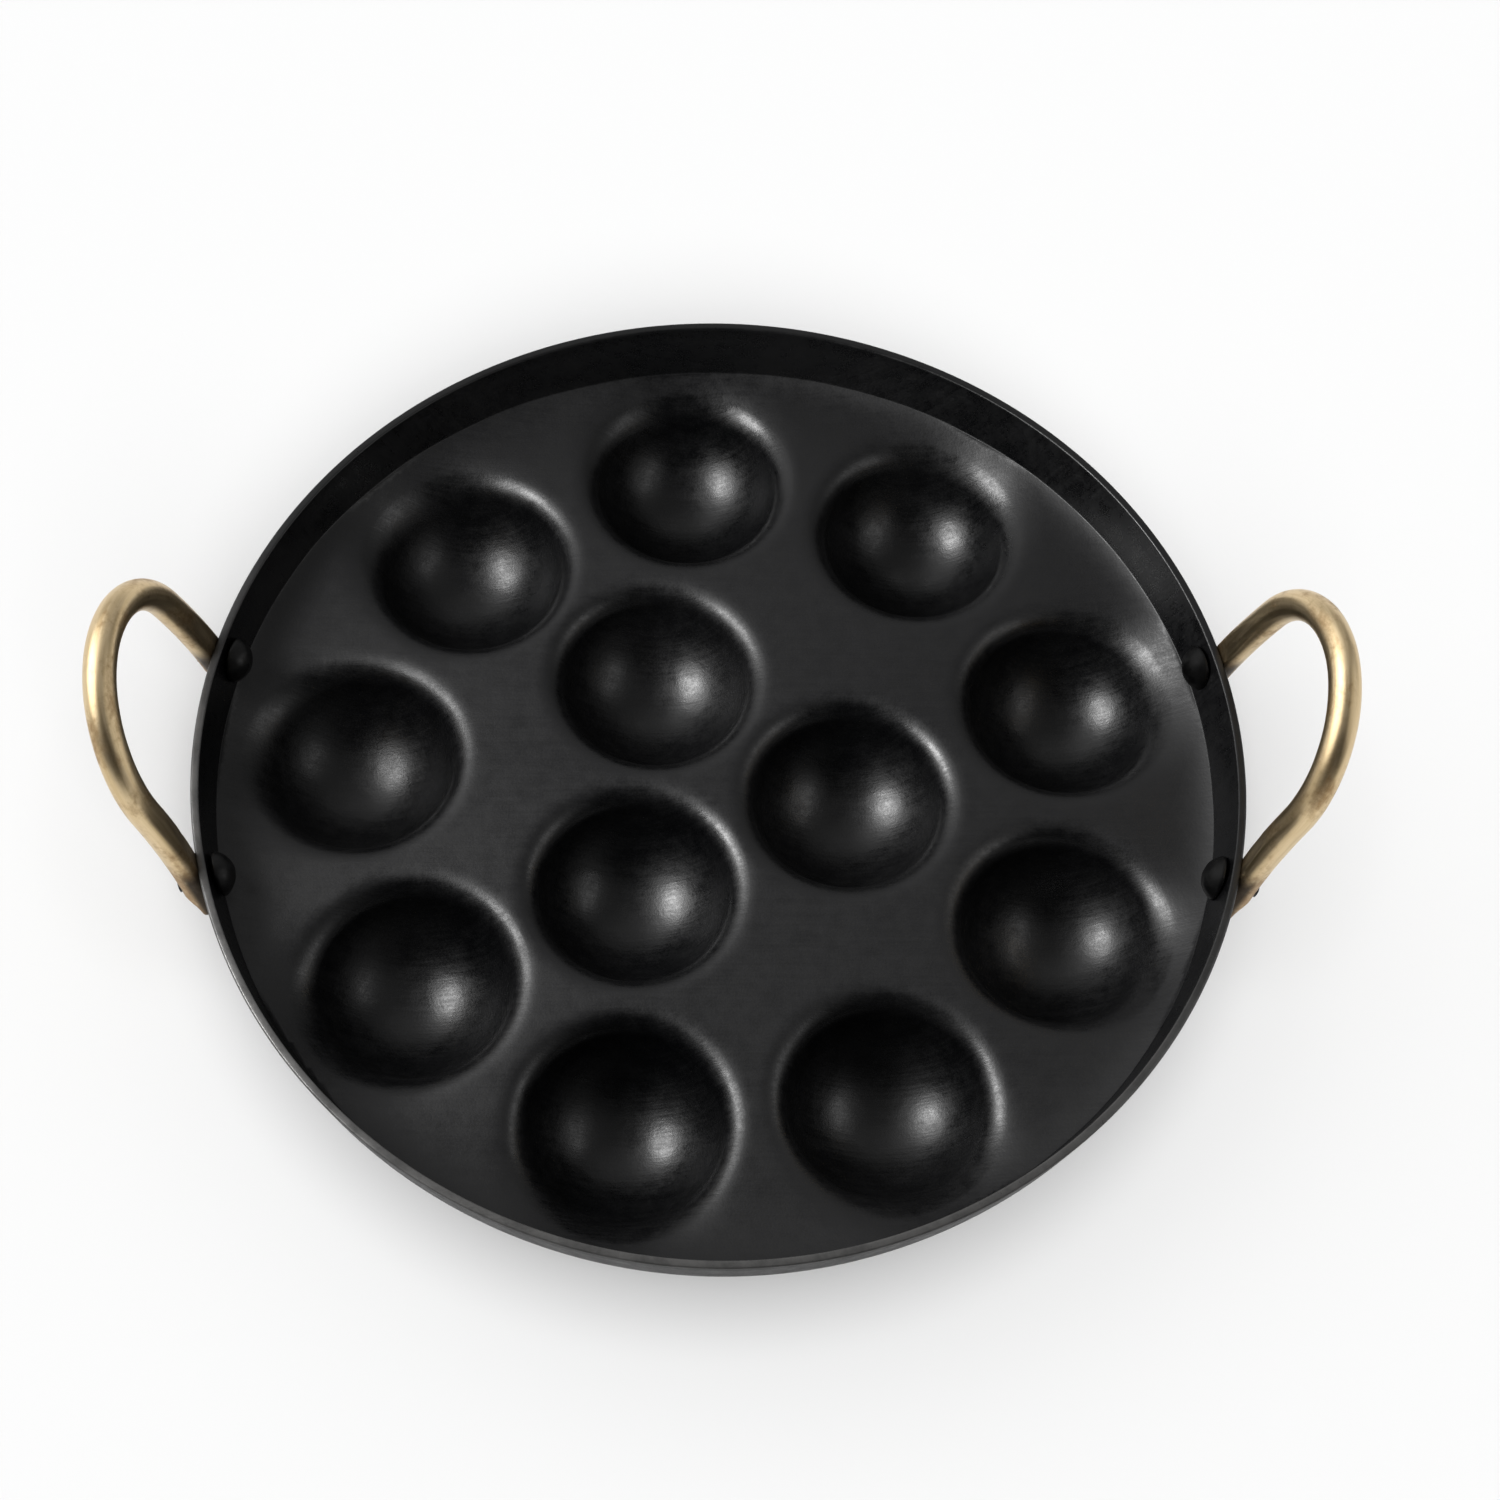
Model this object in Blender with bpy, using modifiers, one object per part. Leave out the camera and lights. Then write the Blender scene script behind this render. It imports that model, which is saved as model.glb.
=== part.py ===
"""A paniyaram pan: a round pressed-iron plate with twelve round pits and a low flared wall.

Two bent brass bar handles stand on its sides, each held by two round-headed iron rivets that
pass through the wall and through the handle's legs.

Metres, +Z up. The pan stands on its pit bottoms at z = 0, its centre is on the Z axis, and the
handles lie along X, a little nearer the front than the centre.
"""

import math

import bmesh
import bpy
from mathutils import Matrix, Vector

MM = 0.001

# Sheet and pits
SHEET = 2.0 * MM
PIT_RADIUS = 24.0 * MM
MOUTH_ROUND = 4.0 * MM
PIT_FLAT_RADIUS = 3.6 * MM
# Underneath, a mouth is rounded by the sheet's thickness less, but never by less than this share
UNDER_ROUND_SHARE = 0.25

# Where the pits lie: an inner trio inside a ring of nine
INNER_PITS = 3
OUTER_PITS = 9
INNER_LAND = 1.6 * MM
OUTER_LAND = 4.9 * MM
RING_LAND = 1.6 * MM
EDGE_LAND = 4.9 * MM
OUTER_RING_TURN = math.radians(15.3)
INNER_RING_TURN = math.radians(-4.7)
OUTER_RING_SHIFT = Vector((0.0, -1.2 * MM, 0.0))
INNER_RING_SHIFT = Vector((-1.9 * MM, -0.9 * MM, 0.0))

# Wall
WALL_FLARE = math.radians(8.3)
FLOOR_FILLET = 3.0 * MM
RIM_ABOVE_RIVET = 7.2 * MM
RIM_ROUND = 0.5 * MM

# Rivets
RIVET_SPACING = 58.2 * MM
RIVET_HEAD_RADIUS = 5.4 * MM
RIVET_HEAD_HEIGHT = 4.0 * MM
RIVET_HEAD_EDGE = 0.6 * MM
RIVET_SHANK_RADIUS = 2.0 * MM
RIVET_TAIL_RADIUS = 3.0 * MM
RIVET_TAIL_DEPTH = 1.4 * MM
# How far a head reaches down past the top of the fillet, which it clears by its stand-off
HEAD_OVER_FILLET = 0.6 * MM

# Handles
BAR_RADIUS = 3.75 * MM
BAR_SEAT_DEPTH = 1.3 * MM
HANDLE_REACH = 55.5 * MM
ARCH_RADIUS = 27.0 * MM
LEAN_GAIN = math.radians(13.9)
LEG_BELOW_RIVET = 9.5 * MM
LEG_END_ROUND = 3.0 * MM
# Both handles sit this far round the wall towards the front, off the line through the centre
HANDLE_DRIFT = math.radians(0.44)

# Left between pieces that touch
FIT_GAP = 0.3 * MM

# How far cutters run past what they cut
OVERRUN = 3.0 * MM
# Lifts a fillet's crest off the flat it leaves, so that the two cross at a clear angle
CREST_LIFT = 0.05 * MM

# Facets
DISH_STEPS = 72
FILLET_STEPS = 4
OUTER_FILLET_STEPS = 5
RIM_ROUND_STEPS = 3
PIT_STEPS = 22
BOWL_STEPS = 16
MOUTH_ROUND_STEPS = 4
SPHERE_STEPS = 5
RIVET_STEPS = 20
DOME_STEPS = 5
BAR_SIDES_RESOLUTION = 5
LEG_STEPS = 8
LEG_END_STEPS = 4
ARCH_STEPS = 10

# Sizes that follow from those above

plate_z = math.sqrt((PIT_RADIUS + SHEET) ** 2 - PIT_FLAT_RADIUS ** 2)
underside_z = plate_z - SHEET
under_round = max(MOUTH_ROUND - SHEET, UNDER_ROUND_SHARE * MOUTH_ROUND)
mouth_radius = math.sqrt((PIT_RADIUS + MOUTH_ROUND) ** 2 - MOUTH_ROUND ** 2)


def ring_radius_by_neighbours(count, land):
    """Radius at which `count` mouths go round a ring with `land` left between two of them."""
    return (2 * mouth_radius + land) / (2 * math.sin(math.pi / count))


inner_ring_radius = ring_radius_by_neighbours(INNER_PITS, INNER_LAND)


def ring_radius_by_inner_trio():
    """Radius at which every outer mouth clears every inner one by RING_LAND."""
    least = 2 * mouth_radius + RING_LAND
    radius = 0.0
    for i in range(OUTER_PITS):
        for j in range(INNER_PITS):
            outer = OUTER_RING_TURN + 2 * math.pi * i / OUTER_PITS
            inner = INNER_RING_TURN + 2 * math.pi * j / INNER_PITS
            along = inner_ring_radius * math.cos(outer - inner)
            across = inner_ring_radius * math.sin(outer - inner)
            radius = max(radius, along + math.sqrt(least ** 2 - across ** 2))
    return radius


outer_ring_radius = max(ring_radius_by_neighbours(OUTER_PITS, OUTER_LAND), ring_radius_by_inner_trio())
floor_radius = outer_ring_radius + mouth_radius + EDGE_LAND

rivet_above_plate = FLOOR_FILLET - HEAD_OVER_FILLET + RIVET_HEAD_RADIUS
wall_height = rivet_above_plate + RIM_ABOVE_RIVET
rim_z = plate_z + wall_height
rivet_z = plate_z + rivet_above_plate
wall_across = SHEET / math.cos(WALL_FLARE)


def wall_inside_radius(z):
    """Radius of the wall's inner face at height z, as if it ran straight down to the plate."""
    return floor_radius + (z - plate_z) * math.tan(WALL_FLARE)


def wall_outside_radius(z):
    """Radius of the wall's outer face at height z."""
    return wall_inside_radius(z) + wall_across


rivet_azimuth = math.asin(RIVET_SPACING / 2 / wall_outside_radius(rivet_z))
# From the wall's outer face, along a rivet, to the bar's axis and to the bar's far side
bar_axis_out = FIT_GAP + BAR_RADIUS - BAR_SEAT_DEPTH
bar_far_out = bar_axis_out + BAR_RADIUS
# A flat head on a hollow wall touches first at its edge, so it stands off by the curve's depth too
head_curve_depth = RIVET_HEAD_RADIUS ** 2 / (2 * floor_radius)


def material(name, colour, roughness, metallic):
    made = bpy.data.materials.new(name)
    made.use_nodes = True
    shader = made.node_tree.nodes["Principled BSDF"]
    shader.inputs["Base Color"].default_value = (*colour, 1.0)
    shader.inputs["Roughness"].default_value = roughness
    shader.inputs["Metallic"].default_value = metallic
    made.diffuse_color = (*colour, 1.0)
    return made


def add_object(name, data, collection):
    made = bpy.data.objects.new(name, data)
    collection.objects.link(made)
    return made


def arc(centre_x, centre_z, radius, start, end, steps):
    """Points of a profile's arc, with angles in radians from +X towards +Z."""
    points = []
    for i in range(steps + 1):
        angle = start + (end - start) * i / steps
        points.append((centre_x + radius * math.cos(angle), centre_z + radius * math.sin(angle)))
    return points


def turned(name, profile, steps, collection):
    """A profile of (radius, z) points turned round the Z axis into a closed solid."""
    mesh = bpy.data.meshes.new(name)
    edges = [(i, i + 1) for i in range(len(profile) - 1)]
    mesh.from_pydata([(x, 0.0, z) for x, z in profile], edges, [])
    made = add_object(name, mesh, collection)
    screw = made.modifiers.new("turn", "SCREW")
    screw.axis = "Z"
    screw.angle = 2 * math.pi
    screw.steps = steps
    screw.render_steps = steps
    screw.use_merge_vertices = True
    screw.merge_threshold = 0.01 * MM
    return made


def boolean(target, other, operation):
    modifier = target.modifiers.new(operation.lower() + " " + other.name, "BOOLEAN")
    modifier.operation = operation
    modifier.object = other
    modifier.solver = "EXACT"
    return modifier


def baked(source, name, collection, weld=False):
    """A plain mesh object with the source's evaluated shape, in place of the source."""
    bpy.context.view_layer.update()
    evaluated = source.evaluated_get(bpy.context.evaluated_depsgraph_get())
    mesh = bpy.data.meshes.new_from_object(evaluated)
    if weld:
        edited = bmesh.new()
        edited.from_mesh(mesh)
        bmesh.ops.remove_doubles(edited, verts=edited.verts, dist=0.01 * MM)
        edited.to_mesh(mesh)
        edited.free()
    place = source.matrix_world.copy()
    bpy.data.objects.remove(source)
    made = add_object(name, mesh, collection)
    made.matrix_world = place
    return made


def as_cutter(made):
    made.hide_render = True
    made.display_type = "WIRE"
    return made


def primitive_cutter(name, collection):
    """The primitive that was added last, as a cutter in its collection."""
    made = bpy.context.active_object
    made.name = name
    for old in list(made.users_collection):
        old.objects.unlink(made)
    collection.objects.link(made)
    return as_cutter(made)


def shade(made, material_used, crease):
    """Give a mesh object its material and smooth shading, with edges sharper than crease kept."""
    made.data.materials.clear()
    made.data.materials.append(material_used)
    made.data.shade_smooth()
    made.data.set_sharp_from_angle(angle=crease)


def tangent_end(sphere_radius, round_radius, plane_drop):
    """Centre of a mouth's rounding, and the angle at which it meets the pit's sphere."""
    centre_z = -plane_drop - round_radius
    centre_x = math.sqrt((sphere_radius + round_radius) ** 2 - centre_z ** 2)
    return centre_x, centre_z, math.atan2(centre_z, centre_x)


def pit_profile(sphere_radius, round_radius, plane_drop, top, flat_radius):
    """Half outline of a pit: from its axis above the mouth, round the mouth and down the sphere.

    z = 0 is the plate's top, where the sphere's centre lies, and plane_drop is how far below it
    the flat lies that the rounding runs out on.
    """
    centre_x, centre_z, meet = tangent_end(sphere_radius, round_radius, plane_drop)
    crest_z = centre_z + CREST_LIFT
    rounding = arc(centre_x, crest_z, round_radius, math.pi / 2, math.pi + meet, MOUTH_ROUND_STEPS)
    flat_angle = -math.acos(flat_radius / sphere_radius) if flat_radius else -math.pi / 2
    sphere = arc(0.0, 0.0, sphere_radius, meet, flat_angle, SPHERE_STEPS)[1:]
    profile = [(0.0, top), (centre_x, top)] + rounding + sphere
    if flat_radius:
        profile.append((0.0, sphere[-1][1]))
    else:
        profile[-1] = (0.0, -sphere_radius)
    return profile


def dish_profile():
    """Half section of the plate and its wall, from the axis along the top and back underneath."""
    lean = WALL_FLARE
    inner_reach = FLOOR_FILLET * math.tan((math.pi / 2 - lean) / 2)
    inner_x = floor_radius - inner_reach
    fillet_z = plate_z + FLOOR_FILLET
    inner = arc(inner_x, fillet_z, FLOOR_FILLET, -math.pi / 2, -lean, FILLET_STEPS)
    outer = arc(inner_x, fillet_z, FLOOR_FILLET + SHEET, -lean, -math.pi / 2, OUTER_FILLET_STEPS)
    rim_in = wall_inside_radius(rim_z)
    rim_out = wall_outside_radius(rim_z)
    top = rim_z - RIM_ROUND
    rim = arc(rim_in + RIM_ROUND, top, RIM_ROUND, math.pi, math.pi / 2, RIM_ROUND_STEPS)
    rim += arc(rim_out - RIM_ROUND, top, RIM_ROUND, math.pi / 2, 0.0, RIM_ROUND_STEPS)
    return [(0.0, plate_z)] + inner + rim + outer + [(0.0, underside_z)]


def pit_places():
    """Centres of all pits on the plate's top."""
    places = []
    for i in range(OUTER_PITS):
        angle = OUTER_RING_TURN + 2 * math.pi * i / OUTER_PITS
        spoke = Vector((math.cos(angle), math.sin(angle), 0.0))
        places.append(outer_ring_radius * spoke + OUTER_RING_SHIFT + Vector((0.0, 0.0, plate_z)))
    for i in range(INNER_PITS):
        angle = INNER_RING_TURN + 2 * math.pi * i / INNER_PITS
        spoke = Vector((math.cos(angle), math.sin(angle), 0.0))
        places.append(inner_ring_radius * spoke + INNER_RING_SHIFT + Vector((0.0, 0.0, plate_z)))
    return places


def copies(source, places, name, collection):
    """One mesh object made of a turned solid repeated at the places, as separate bodies."""
    single = baked(source, name + "_single", collection)
    joined = bmesh.new()
    for place in places:
        before = len(joined.verts)
        joined.from_mesh(single.data)
        joined.verts.ensure_lookup_table()
        bmesh.ops.translate(joined, vec=place, verts=joined.verts[before:])
    mesh = bpy.data.meshes.new(name)
    joined.to_mesh(mesh)
    joined.free()
    bpy.data.objects.remove(single)
    return add_object(name, mesh, collection)


def rivet_frame(side):
    """Place on the wall's outer face with local +Z out along a rivet; side is +1 or -1 in Y."""
    azimuth = side * rivet_azimuth
    out = Vector((math.cos(azimuth), math.sin(azimuth), 0.0))
    radius = wall_outside_radius(rivet_z)
    axis = out * math.cos(WALL_FLARE) - Vector((0.0, 0.0, math.sin(WALL_FLARE)))
    across = Vector((0.0, 0.0, 1.0)).cross(axis).normalized()
    up = axis.cross(across)
    frame = Matrix((across, up, axis)).transposed().to_4x4()
    frame.translation = out * radius + Vector((0.0, 0.0, rivet_z))
    return frame


# The right handle and its rivets are made on +X, and the left ones are the same pieces turned
RIGHT_PLACE = Matrix.Rotation(-HANDLE_DRIFT, 4, "Z")
LEFT_PLACE = Matrix.Rotation(math.pi + HANDLE_DRIFT, 4, "Z")


def build_pan_body(parts, cutters, iron):
    """The plate with its wall, twelve bowls pressed out below it, and four rivet holes."""
    body = turned("pan_body_dish", dish_profile(), DISH_STEPS, parts)
    places = pit_places()
    bowl_profile = pit_profile(PIT_RADIUS + SHEET, under_round, SHEET, -SHEET / 2, PIT_FLAT_RADIUS)
    bowl = turned("bowl", bowl_profile, BOWL_STEPS, cutters)
    hollow_profile = pit_profile(PIT_RADIUS, MOUTH_ROUND, 0.0, OVERRUN, 0.0)
    hollow = turned("hollow", hollow_profile, PIT_STEPS, cutters)
    bowls = as_cutter(copies(bowl, places, "bowls", cutters))
    hollows = as_cutter(copies(hollow, places, "hollows", cutters))
    boolean(body, bowls, "UNION")
    boolean(body, hollows, "DIFFERENCE")
    for turn in (RIGHT_PLACE, LEFT_PLACE):
        for side in (1, -1):
            bpy.ops.mesh.primitive_cylinder_add(
                vertices=RIVET_STEPS, radius=RIVET_SHANK_RADIUS + FIT_GAP, depth=SHEET + 2 * OVERRUN)
            hole = primitive_cutter("rivet_hole", cutters)
            hole.matrix_world = turn @ rivet_frame(side) @ Matrix.Translation((0.0, 0.0, -SHEET / 2))
            boolean(body, hole, "DIFFERENCE")
    body = baked(body, "pan_body", parts)
    shade(body, iron, math.radians(35.0))
    return body


def lean_offset(height):
    """How far out and up the bar has gone when it is `height` along the handle from its rivets.

    A leg lies along the wall below its rivet, and leans further and further out above it.
    """
    if height <= 0.0:
        return height * math.sin(WALL_FLARE), height * math.cos(WALL_FLARE)
    gain = LEAN_GAIN / HANDLE_REACH
    lean = WALL_FLARE + gain * height
    return (math.cos(WALL_FLARE) - math.cos(lean)) / gain, (math.sin(lean) - math.sin(WALL_FLARE)) / gain


def bar_points():
    """The handle bar's centre line for the handle at +X, from one leg's end over the arch.

    Each point is a place and the bar's thickness there as a share of BAR_RADIUS.
    """
    base_out = wall_outside_radius(rivet_z) + bar_axis_out * math.cos(WALL_FLARE)
    base_x = base_out * math.cos(rivet_azimuth)
    base_y = base_out * math.sin(rivet_azimuth)
    base_z = rivet_z - bar_axis_out * math.sin(WALL_FLARE)
    centre_height = HANDLE_REACH - ARCH_RADIUS
    # The straight leg touches the arch's circle at this angle
    swing = math.acos(ARCH_RADIUS / math.hypot(base_y, centre_height))
    touch = math.atan2(-centre_height, base_y) + swing
    touch_y = ARCH_RADIUS * math.cos(touch)
    touch_height = centre_height + ARCH_RADIUS * math.sin(touch)
    splay = (touch_y - base_y) / touch_height
    half = []
    for i in range(LEG_END_STEPS):
        angle = math.pi / 2 * (i + 0.5) / LEG_END_STEPS
        height = -LEG_BELOW_RIVET - LEG_END_ROUND * math.cos(angle)
        half.append((base_y + splay * height, height, math.sin(angle)))
    for i in range(LEG_STEPS):
        height = -LEG_BELOW_RIVET + (touch_height + LEG_BELOW_RIVET) * i / LEG_STEPS
        half.append((base_y + splay * height, height, 1.0))
    for i in range(ARCH_STEPS + 1):
        angle = touch + (math.pi / 2 - touch) * i / ARCH_STEPS
        half.append((ARCH_RADIUS * math.cos(angle), centre_height + ARCH_RADIUS * math.sin(angle), 1.0))
    points = []
    for y, height, thickness in half + [(-y, h, t) for y, h, t in reversed(half[:-1])]:
        out, up = lean_offset(height)
        points.append((Vector((base_x + out, y, base_z + up)), thickness))
    return points


def build_bar(name, collection):
    """The bent round bar alone, as a closed mesh."""
    curve = bpy.data.curves.new(name, "CURVE")
    curve.dimensions = "3D"
    curve.bevel_depth = BAR_RADIUS
    curve.bevel_resolution = BAR_SIDES_RESOLUTION
    curve.use_fill_caps = True
    points = bar_points()
    spline = curve.splines.new("POLY")
    spline.points.add(len(points) - 1)
    for target, (place, thickness) in zip(spline.points, points):
        target.co = (*place, 1.0)
        target.radius = thickness
    return baked(add_object(name + "_curve", curve, collection), name, collection, weld=True)


def wall_cutter(collection):
    """The room that the wall takes, with the fit gap all round its outer face."""
    low = rivet_z - LEG_BELOW_RIVET - LEG_END_ROUND - OVERRUN
    high = rim_z + FIT_GAP
    profile = [(0.0, high),
               (wall_outside_radius(high) + FIT_GAP, high),
               (wall_outside_radius(low) + FIT_GAP, low),
               (0.0, low)]
    return as_cutter(turned("wall_room", profile, DISH_STEPS, collection))


def rivet_hole_profile():
    """Half outline of the hole through a leg: a shank's bore that opens to a countersink."""
    bore = RIVET_SHANK_RADIUS + FIT_GAP
    sink = RIVET_TAIL_RADIUS + FIT_GAP
    slope = (RIVET_TAIL_RADIUS - RIVET_SHANK_RADIUS) / RIVET_TAIL_DEPTH
    top = bar_far_out + OVERRUN
    return [(0.0, top), (sink + slope * OVERRUN, top), (sink, bar_far_out),
            (bore, bar_far_out - RIVET_TAIL_DEPTH), (bore, -OVERRUN), (0.0, -OVERRUN)]


def build_handles(parts, cutters, brass):
    """Both handles: a bent round bar whose legs have a flat seat on the wall and a rivet hole."""
    handle = build_bar("handle_bar", cutters)
    boolean(handle, wall_cutter(cutters), "DIFFERENCE")
    for side in (1, -1):
        hole = as_cutter(turned("leg_hole", rivet_hole_profile(), RIVET_STEPS, cutters))
        hole.matrix_world = rivet_frame(side)
        boolean(handle, hole, "DIFFERENCE")
    right = baked(handle, "handle_right", parts)
    shade(right, brass, math.radians(40.0))
    left = add_object("handle_left", right.data, parts)
    left.matrix_world = LEFT_PLACE @ right.matrix_world
    right.matrix_world = RIGHT_PLACE @ right.matrix_world
    return right, left


def rivet_profile():
    """Half outline of a rivet, from its countersunk tail down its shank to the domed head."""
    slope = (RIVET_TAIL_RADIUS - RIVET_SHANK_RADIUS) / RIVET_TAIL_DEPTH
    top = bar_far_out + OVERRUN / 2
    seat = -(SHEET + FIT_GAP + head_curve_depth)
    dome_start = seat - RIVET_HEAD_EDGE
    dome_height = RIVET_HEAD_HEIGHT - RIVET_HEAD_EDGE
    sphere = (RIVET_HEAD_RADIUS ** 2 + dome_height ** 2) / (2 * dome_height)
    sphere_z = dome_start - dome_height + sphere
    first = -math.acos(RIVET_HEAD_RADIUS / sphere)
    dome = arc(0.0, sphere_z, sphere, first, -math.pi / 2, DOME_STEPS)[:-1]
    return [(0.0, top),
            (RIVET_TAIL_RADIUS + slope * OVERRUN / 2, top),
            (RIVET_SHANK_RADIUS, bar_far_out - RIVET_TAIL_DEPTH),
            (RIVET_SHANK_RADIUS, seat),
            (RIVET_HEAD_RADIUS, seat)] + dome + [(0.0, sphere_z - sphere)]


def build_rivets(parts, cutters, iron):
    """Four rivets: a domed head inside the wall, and a tail filed flush with the bar's far side."""
    names = {1: "rivet_right_back", -1: "rivet_right_front"}
    opposite = {1: "rivet_left_front", -1: "rivet_left_back"}
    rivets = []
    for side in (1, -1):
        bar = as_cutter(build_bar("bar_for_tail", cutters))
        length = BAR_RADIUS + OVERRUN
        bpy.ops.mesh.primitive_cylinder_add(
            vertices=RIVET_STEPS, radius=RIVET_TAIL_RADIUS + OVERRUN, depth=length)
        beyond = primitive_cutter("beyond_bar", cutters)
        middle = Matrix.Translation((0.0, 0.0, bar_axis_out + length / 2))
        beyond.matrix_world = rivet_frame(side) @ middle
        boolean(beyond, bar, "DIFFERENCE")
        rivet = turned("rivet_turned", rivet_profile(), RIVET_STEPS, parts)
        rivet.matrix_world = rivet_frame(side)
        boolean(rivet, beyond, "DIFFERENCE")
        rivet = baked(rivet, names[side], parts)
        shade(rivet, iron, math.radians(35.0))
        twin = add_object(opposite[side], rivet.data, parts)
        twin.matrix_world = LEFT_PLACE @ rivet.matrix_world
        rivet.matrix_world = RIGHT_PLACE @ rivet.matrix_world
        rivets += [rivet, twin]
    return rivets


def build():
    for old in list(bpy.data.objects):
        bpy.data.objects.remove(old)
    parts = bpy.data.collections.new("paniyaram_pan")
    cutters = bpy.data.collections.new("cutters")
    for collection in (parts, cutters):
        bpy.context.scene.collection.children.link(collection)
    iron = material("seasoned_iron", (0.055, 0.057, 0.062), 0.42, 1.0)
    rivet_iron = material("rivet_iron", (0.03, 0.03, 0.033), 0.5, 1.0)
    brass = material("aged_brass", (0.72, 0.56, 0.32), 0.3, 1.0)
    build_pan_body(parts, cutters, iron)
    build_handles(parts, cutters, brass)
    build_rivets(parts, cutters, rivet_iron)


build()
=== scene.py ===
# %% [markdown]
# # A paniyaram pan over its CAD frame
#
# The real object is a round black pan pressed from one iron sheet, with twelve deep round pits for
# dumplings, a low wall that leans out, and two bent brass bars as handles. Each handle is held by
# two rivets, whose round heads show inside the wall.
#
# The CAD model says where everything is and how large it is. This script replaces each of its
# seven coarse solids with a finer mesh in the same place, and gives each one a worked material.

# %% Load the frame
import math

import bmesh
import bpy
from mathutils import Matrix, Vector, geometry


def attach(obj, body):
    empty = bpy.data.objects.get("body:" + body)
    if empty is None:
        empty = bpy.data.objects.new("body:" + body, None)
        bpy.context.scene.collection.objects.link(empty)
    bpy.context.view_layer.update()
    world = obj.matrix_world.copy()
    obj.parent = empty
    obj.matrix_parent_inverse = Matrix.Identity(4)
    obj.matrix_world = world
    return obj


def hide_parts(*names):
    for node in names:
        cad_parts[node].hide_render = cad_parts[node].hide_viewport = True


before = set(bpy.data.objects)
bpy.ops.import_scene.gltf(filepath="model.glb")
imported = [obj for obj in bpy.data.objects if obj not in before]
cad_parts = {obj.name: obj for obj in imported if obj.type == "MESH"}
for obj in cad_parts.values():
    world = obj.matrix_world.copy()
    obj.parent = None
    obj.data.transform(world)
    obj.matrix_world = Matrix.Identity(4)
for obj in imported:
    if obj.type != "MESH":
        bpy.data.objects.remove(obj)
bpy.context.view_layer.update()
MM = 0.001
print("CAD nodes:", ", ".join(sorted(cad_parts)))

# %% [markdown]
# ## Sizes
#
# The fine meshes have to lie exactly where the solids lie, so they start from the same sizes. The
# plate's height, the mouths' radius and the wall's radius follow from the few sizes that a maker
# would choose: how big a dumpling is, how thick the sheet is and how far the pits stand apart.

# %% Sizes of the pressed pan
SHEET = 2.0 * MM
PIT_RADIUS = 24.0 * MM
MOUTH_ROUND = 4.0 * MM
PIT_FLAT_RADIUS = 3.6 * MM
INNER_PITS, OUTER_PITS = 3, 9
INNER_LAND = 1.6 * MM
OUTER_LAND = 4.9 * MM
EDGE_LAND = 4.9 * MM
OUTER_RING_TURN = math.radians(15.3)
INNER_RING_TURN = math.radians(-4.7)
OUTER_RING_SHIFT = Vector((0.0, -1.2 * MM, 0.0))
INNER_RING_SHIFT = Vector((-1.9 * MM, -0.9 * MM, 0.0))
WALL_FLARE = math.radians(8.3)
FLOOR_FILLET = 3.0 * MM
RIM_ABOVE_RIVET = 7.2 * MM
RIM_ROUND = 0.5 * MM
RIVET_ABOVE_PLATE = 7.8 * MM

plate_z = math.sqrt((PIT_RADIUS + SHEET) ** 2 - PIT_FLAT_RADIUS ** 2)
underside_z = plate_z - SHEET
mouth_radius = math.sqrt((PIT_RADIUS + MOUTH_ROUND) ** 2 - MOUTH_ROUND ** 2)
inner_ring_radius = (2 * mouth_radius + INNER_LAND) / (2 * math.sin(math.pi / INNER_PITS))
outer_ring_radius = (2 * mouth_radius + OUTER_LAND) / (2 * math.sin(math.pi / OUTER_PITS))
floor_radius = outer_ring_radius + mouth_radius + EDGE_LAND
rivet_z = plate_z + RIVET_ABOVE_PLATE
rim_z = rivet_z + RIM_ABOVE_RIVET
wall_across = SHEET / math.cos(WALL_FLARE)
print(f"plate {plate_z / MM:.2f} mm up, mouths {2 * mouth_radius / MM:.1f} mm, rim {rim_z / MM:.2f} mm")


def wall_inside_radius(z):
    """Radius of the wall's inner face at height z."""
    return floor_radius + (z - plate_z) * math.tan(WALL_FLARE)


def wall_outside_radius(z):
    """Radius of the wall's outer face at height z."""
    return wall_inside_radius(z) + wall_across


# %% [markdown]
# ## The camera
#
# The photograph looks down on the pan at about 64 degrees, from a little over half a metre away.
# The values below come from matching the rim, the plate's edge and the pits. The pan stands turned
# a few degrees to the camera, so the camera is turned round the pan instead of the pan itself.

# %% Camera at the photograph's angle
def new_object(name, data):
    """An object that is linked into the scene."""
    made = bpy.data.objects.new(name, data)
    bpy.context.scene.collection.objects.link(made)
    return made


CAMERA_TILT = math.radians(63.623)
CAMERA_DISTANCE = 622.47 * MM
CAMERA_LENS = 61.5416
CAMERA_ROLL = math.radians(-3.470)
CAMERA_YAW = math.radians(-0.6172)
CAMERA_PITCH = math.radians(0.7041)
PAN_TURN = math.radians(3.47)


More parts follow.
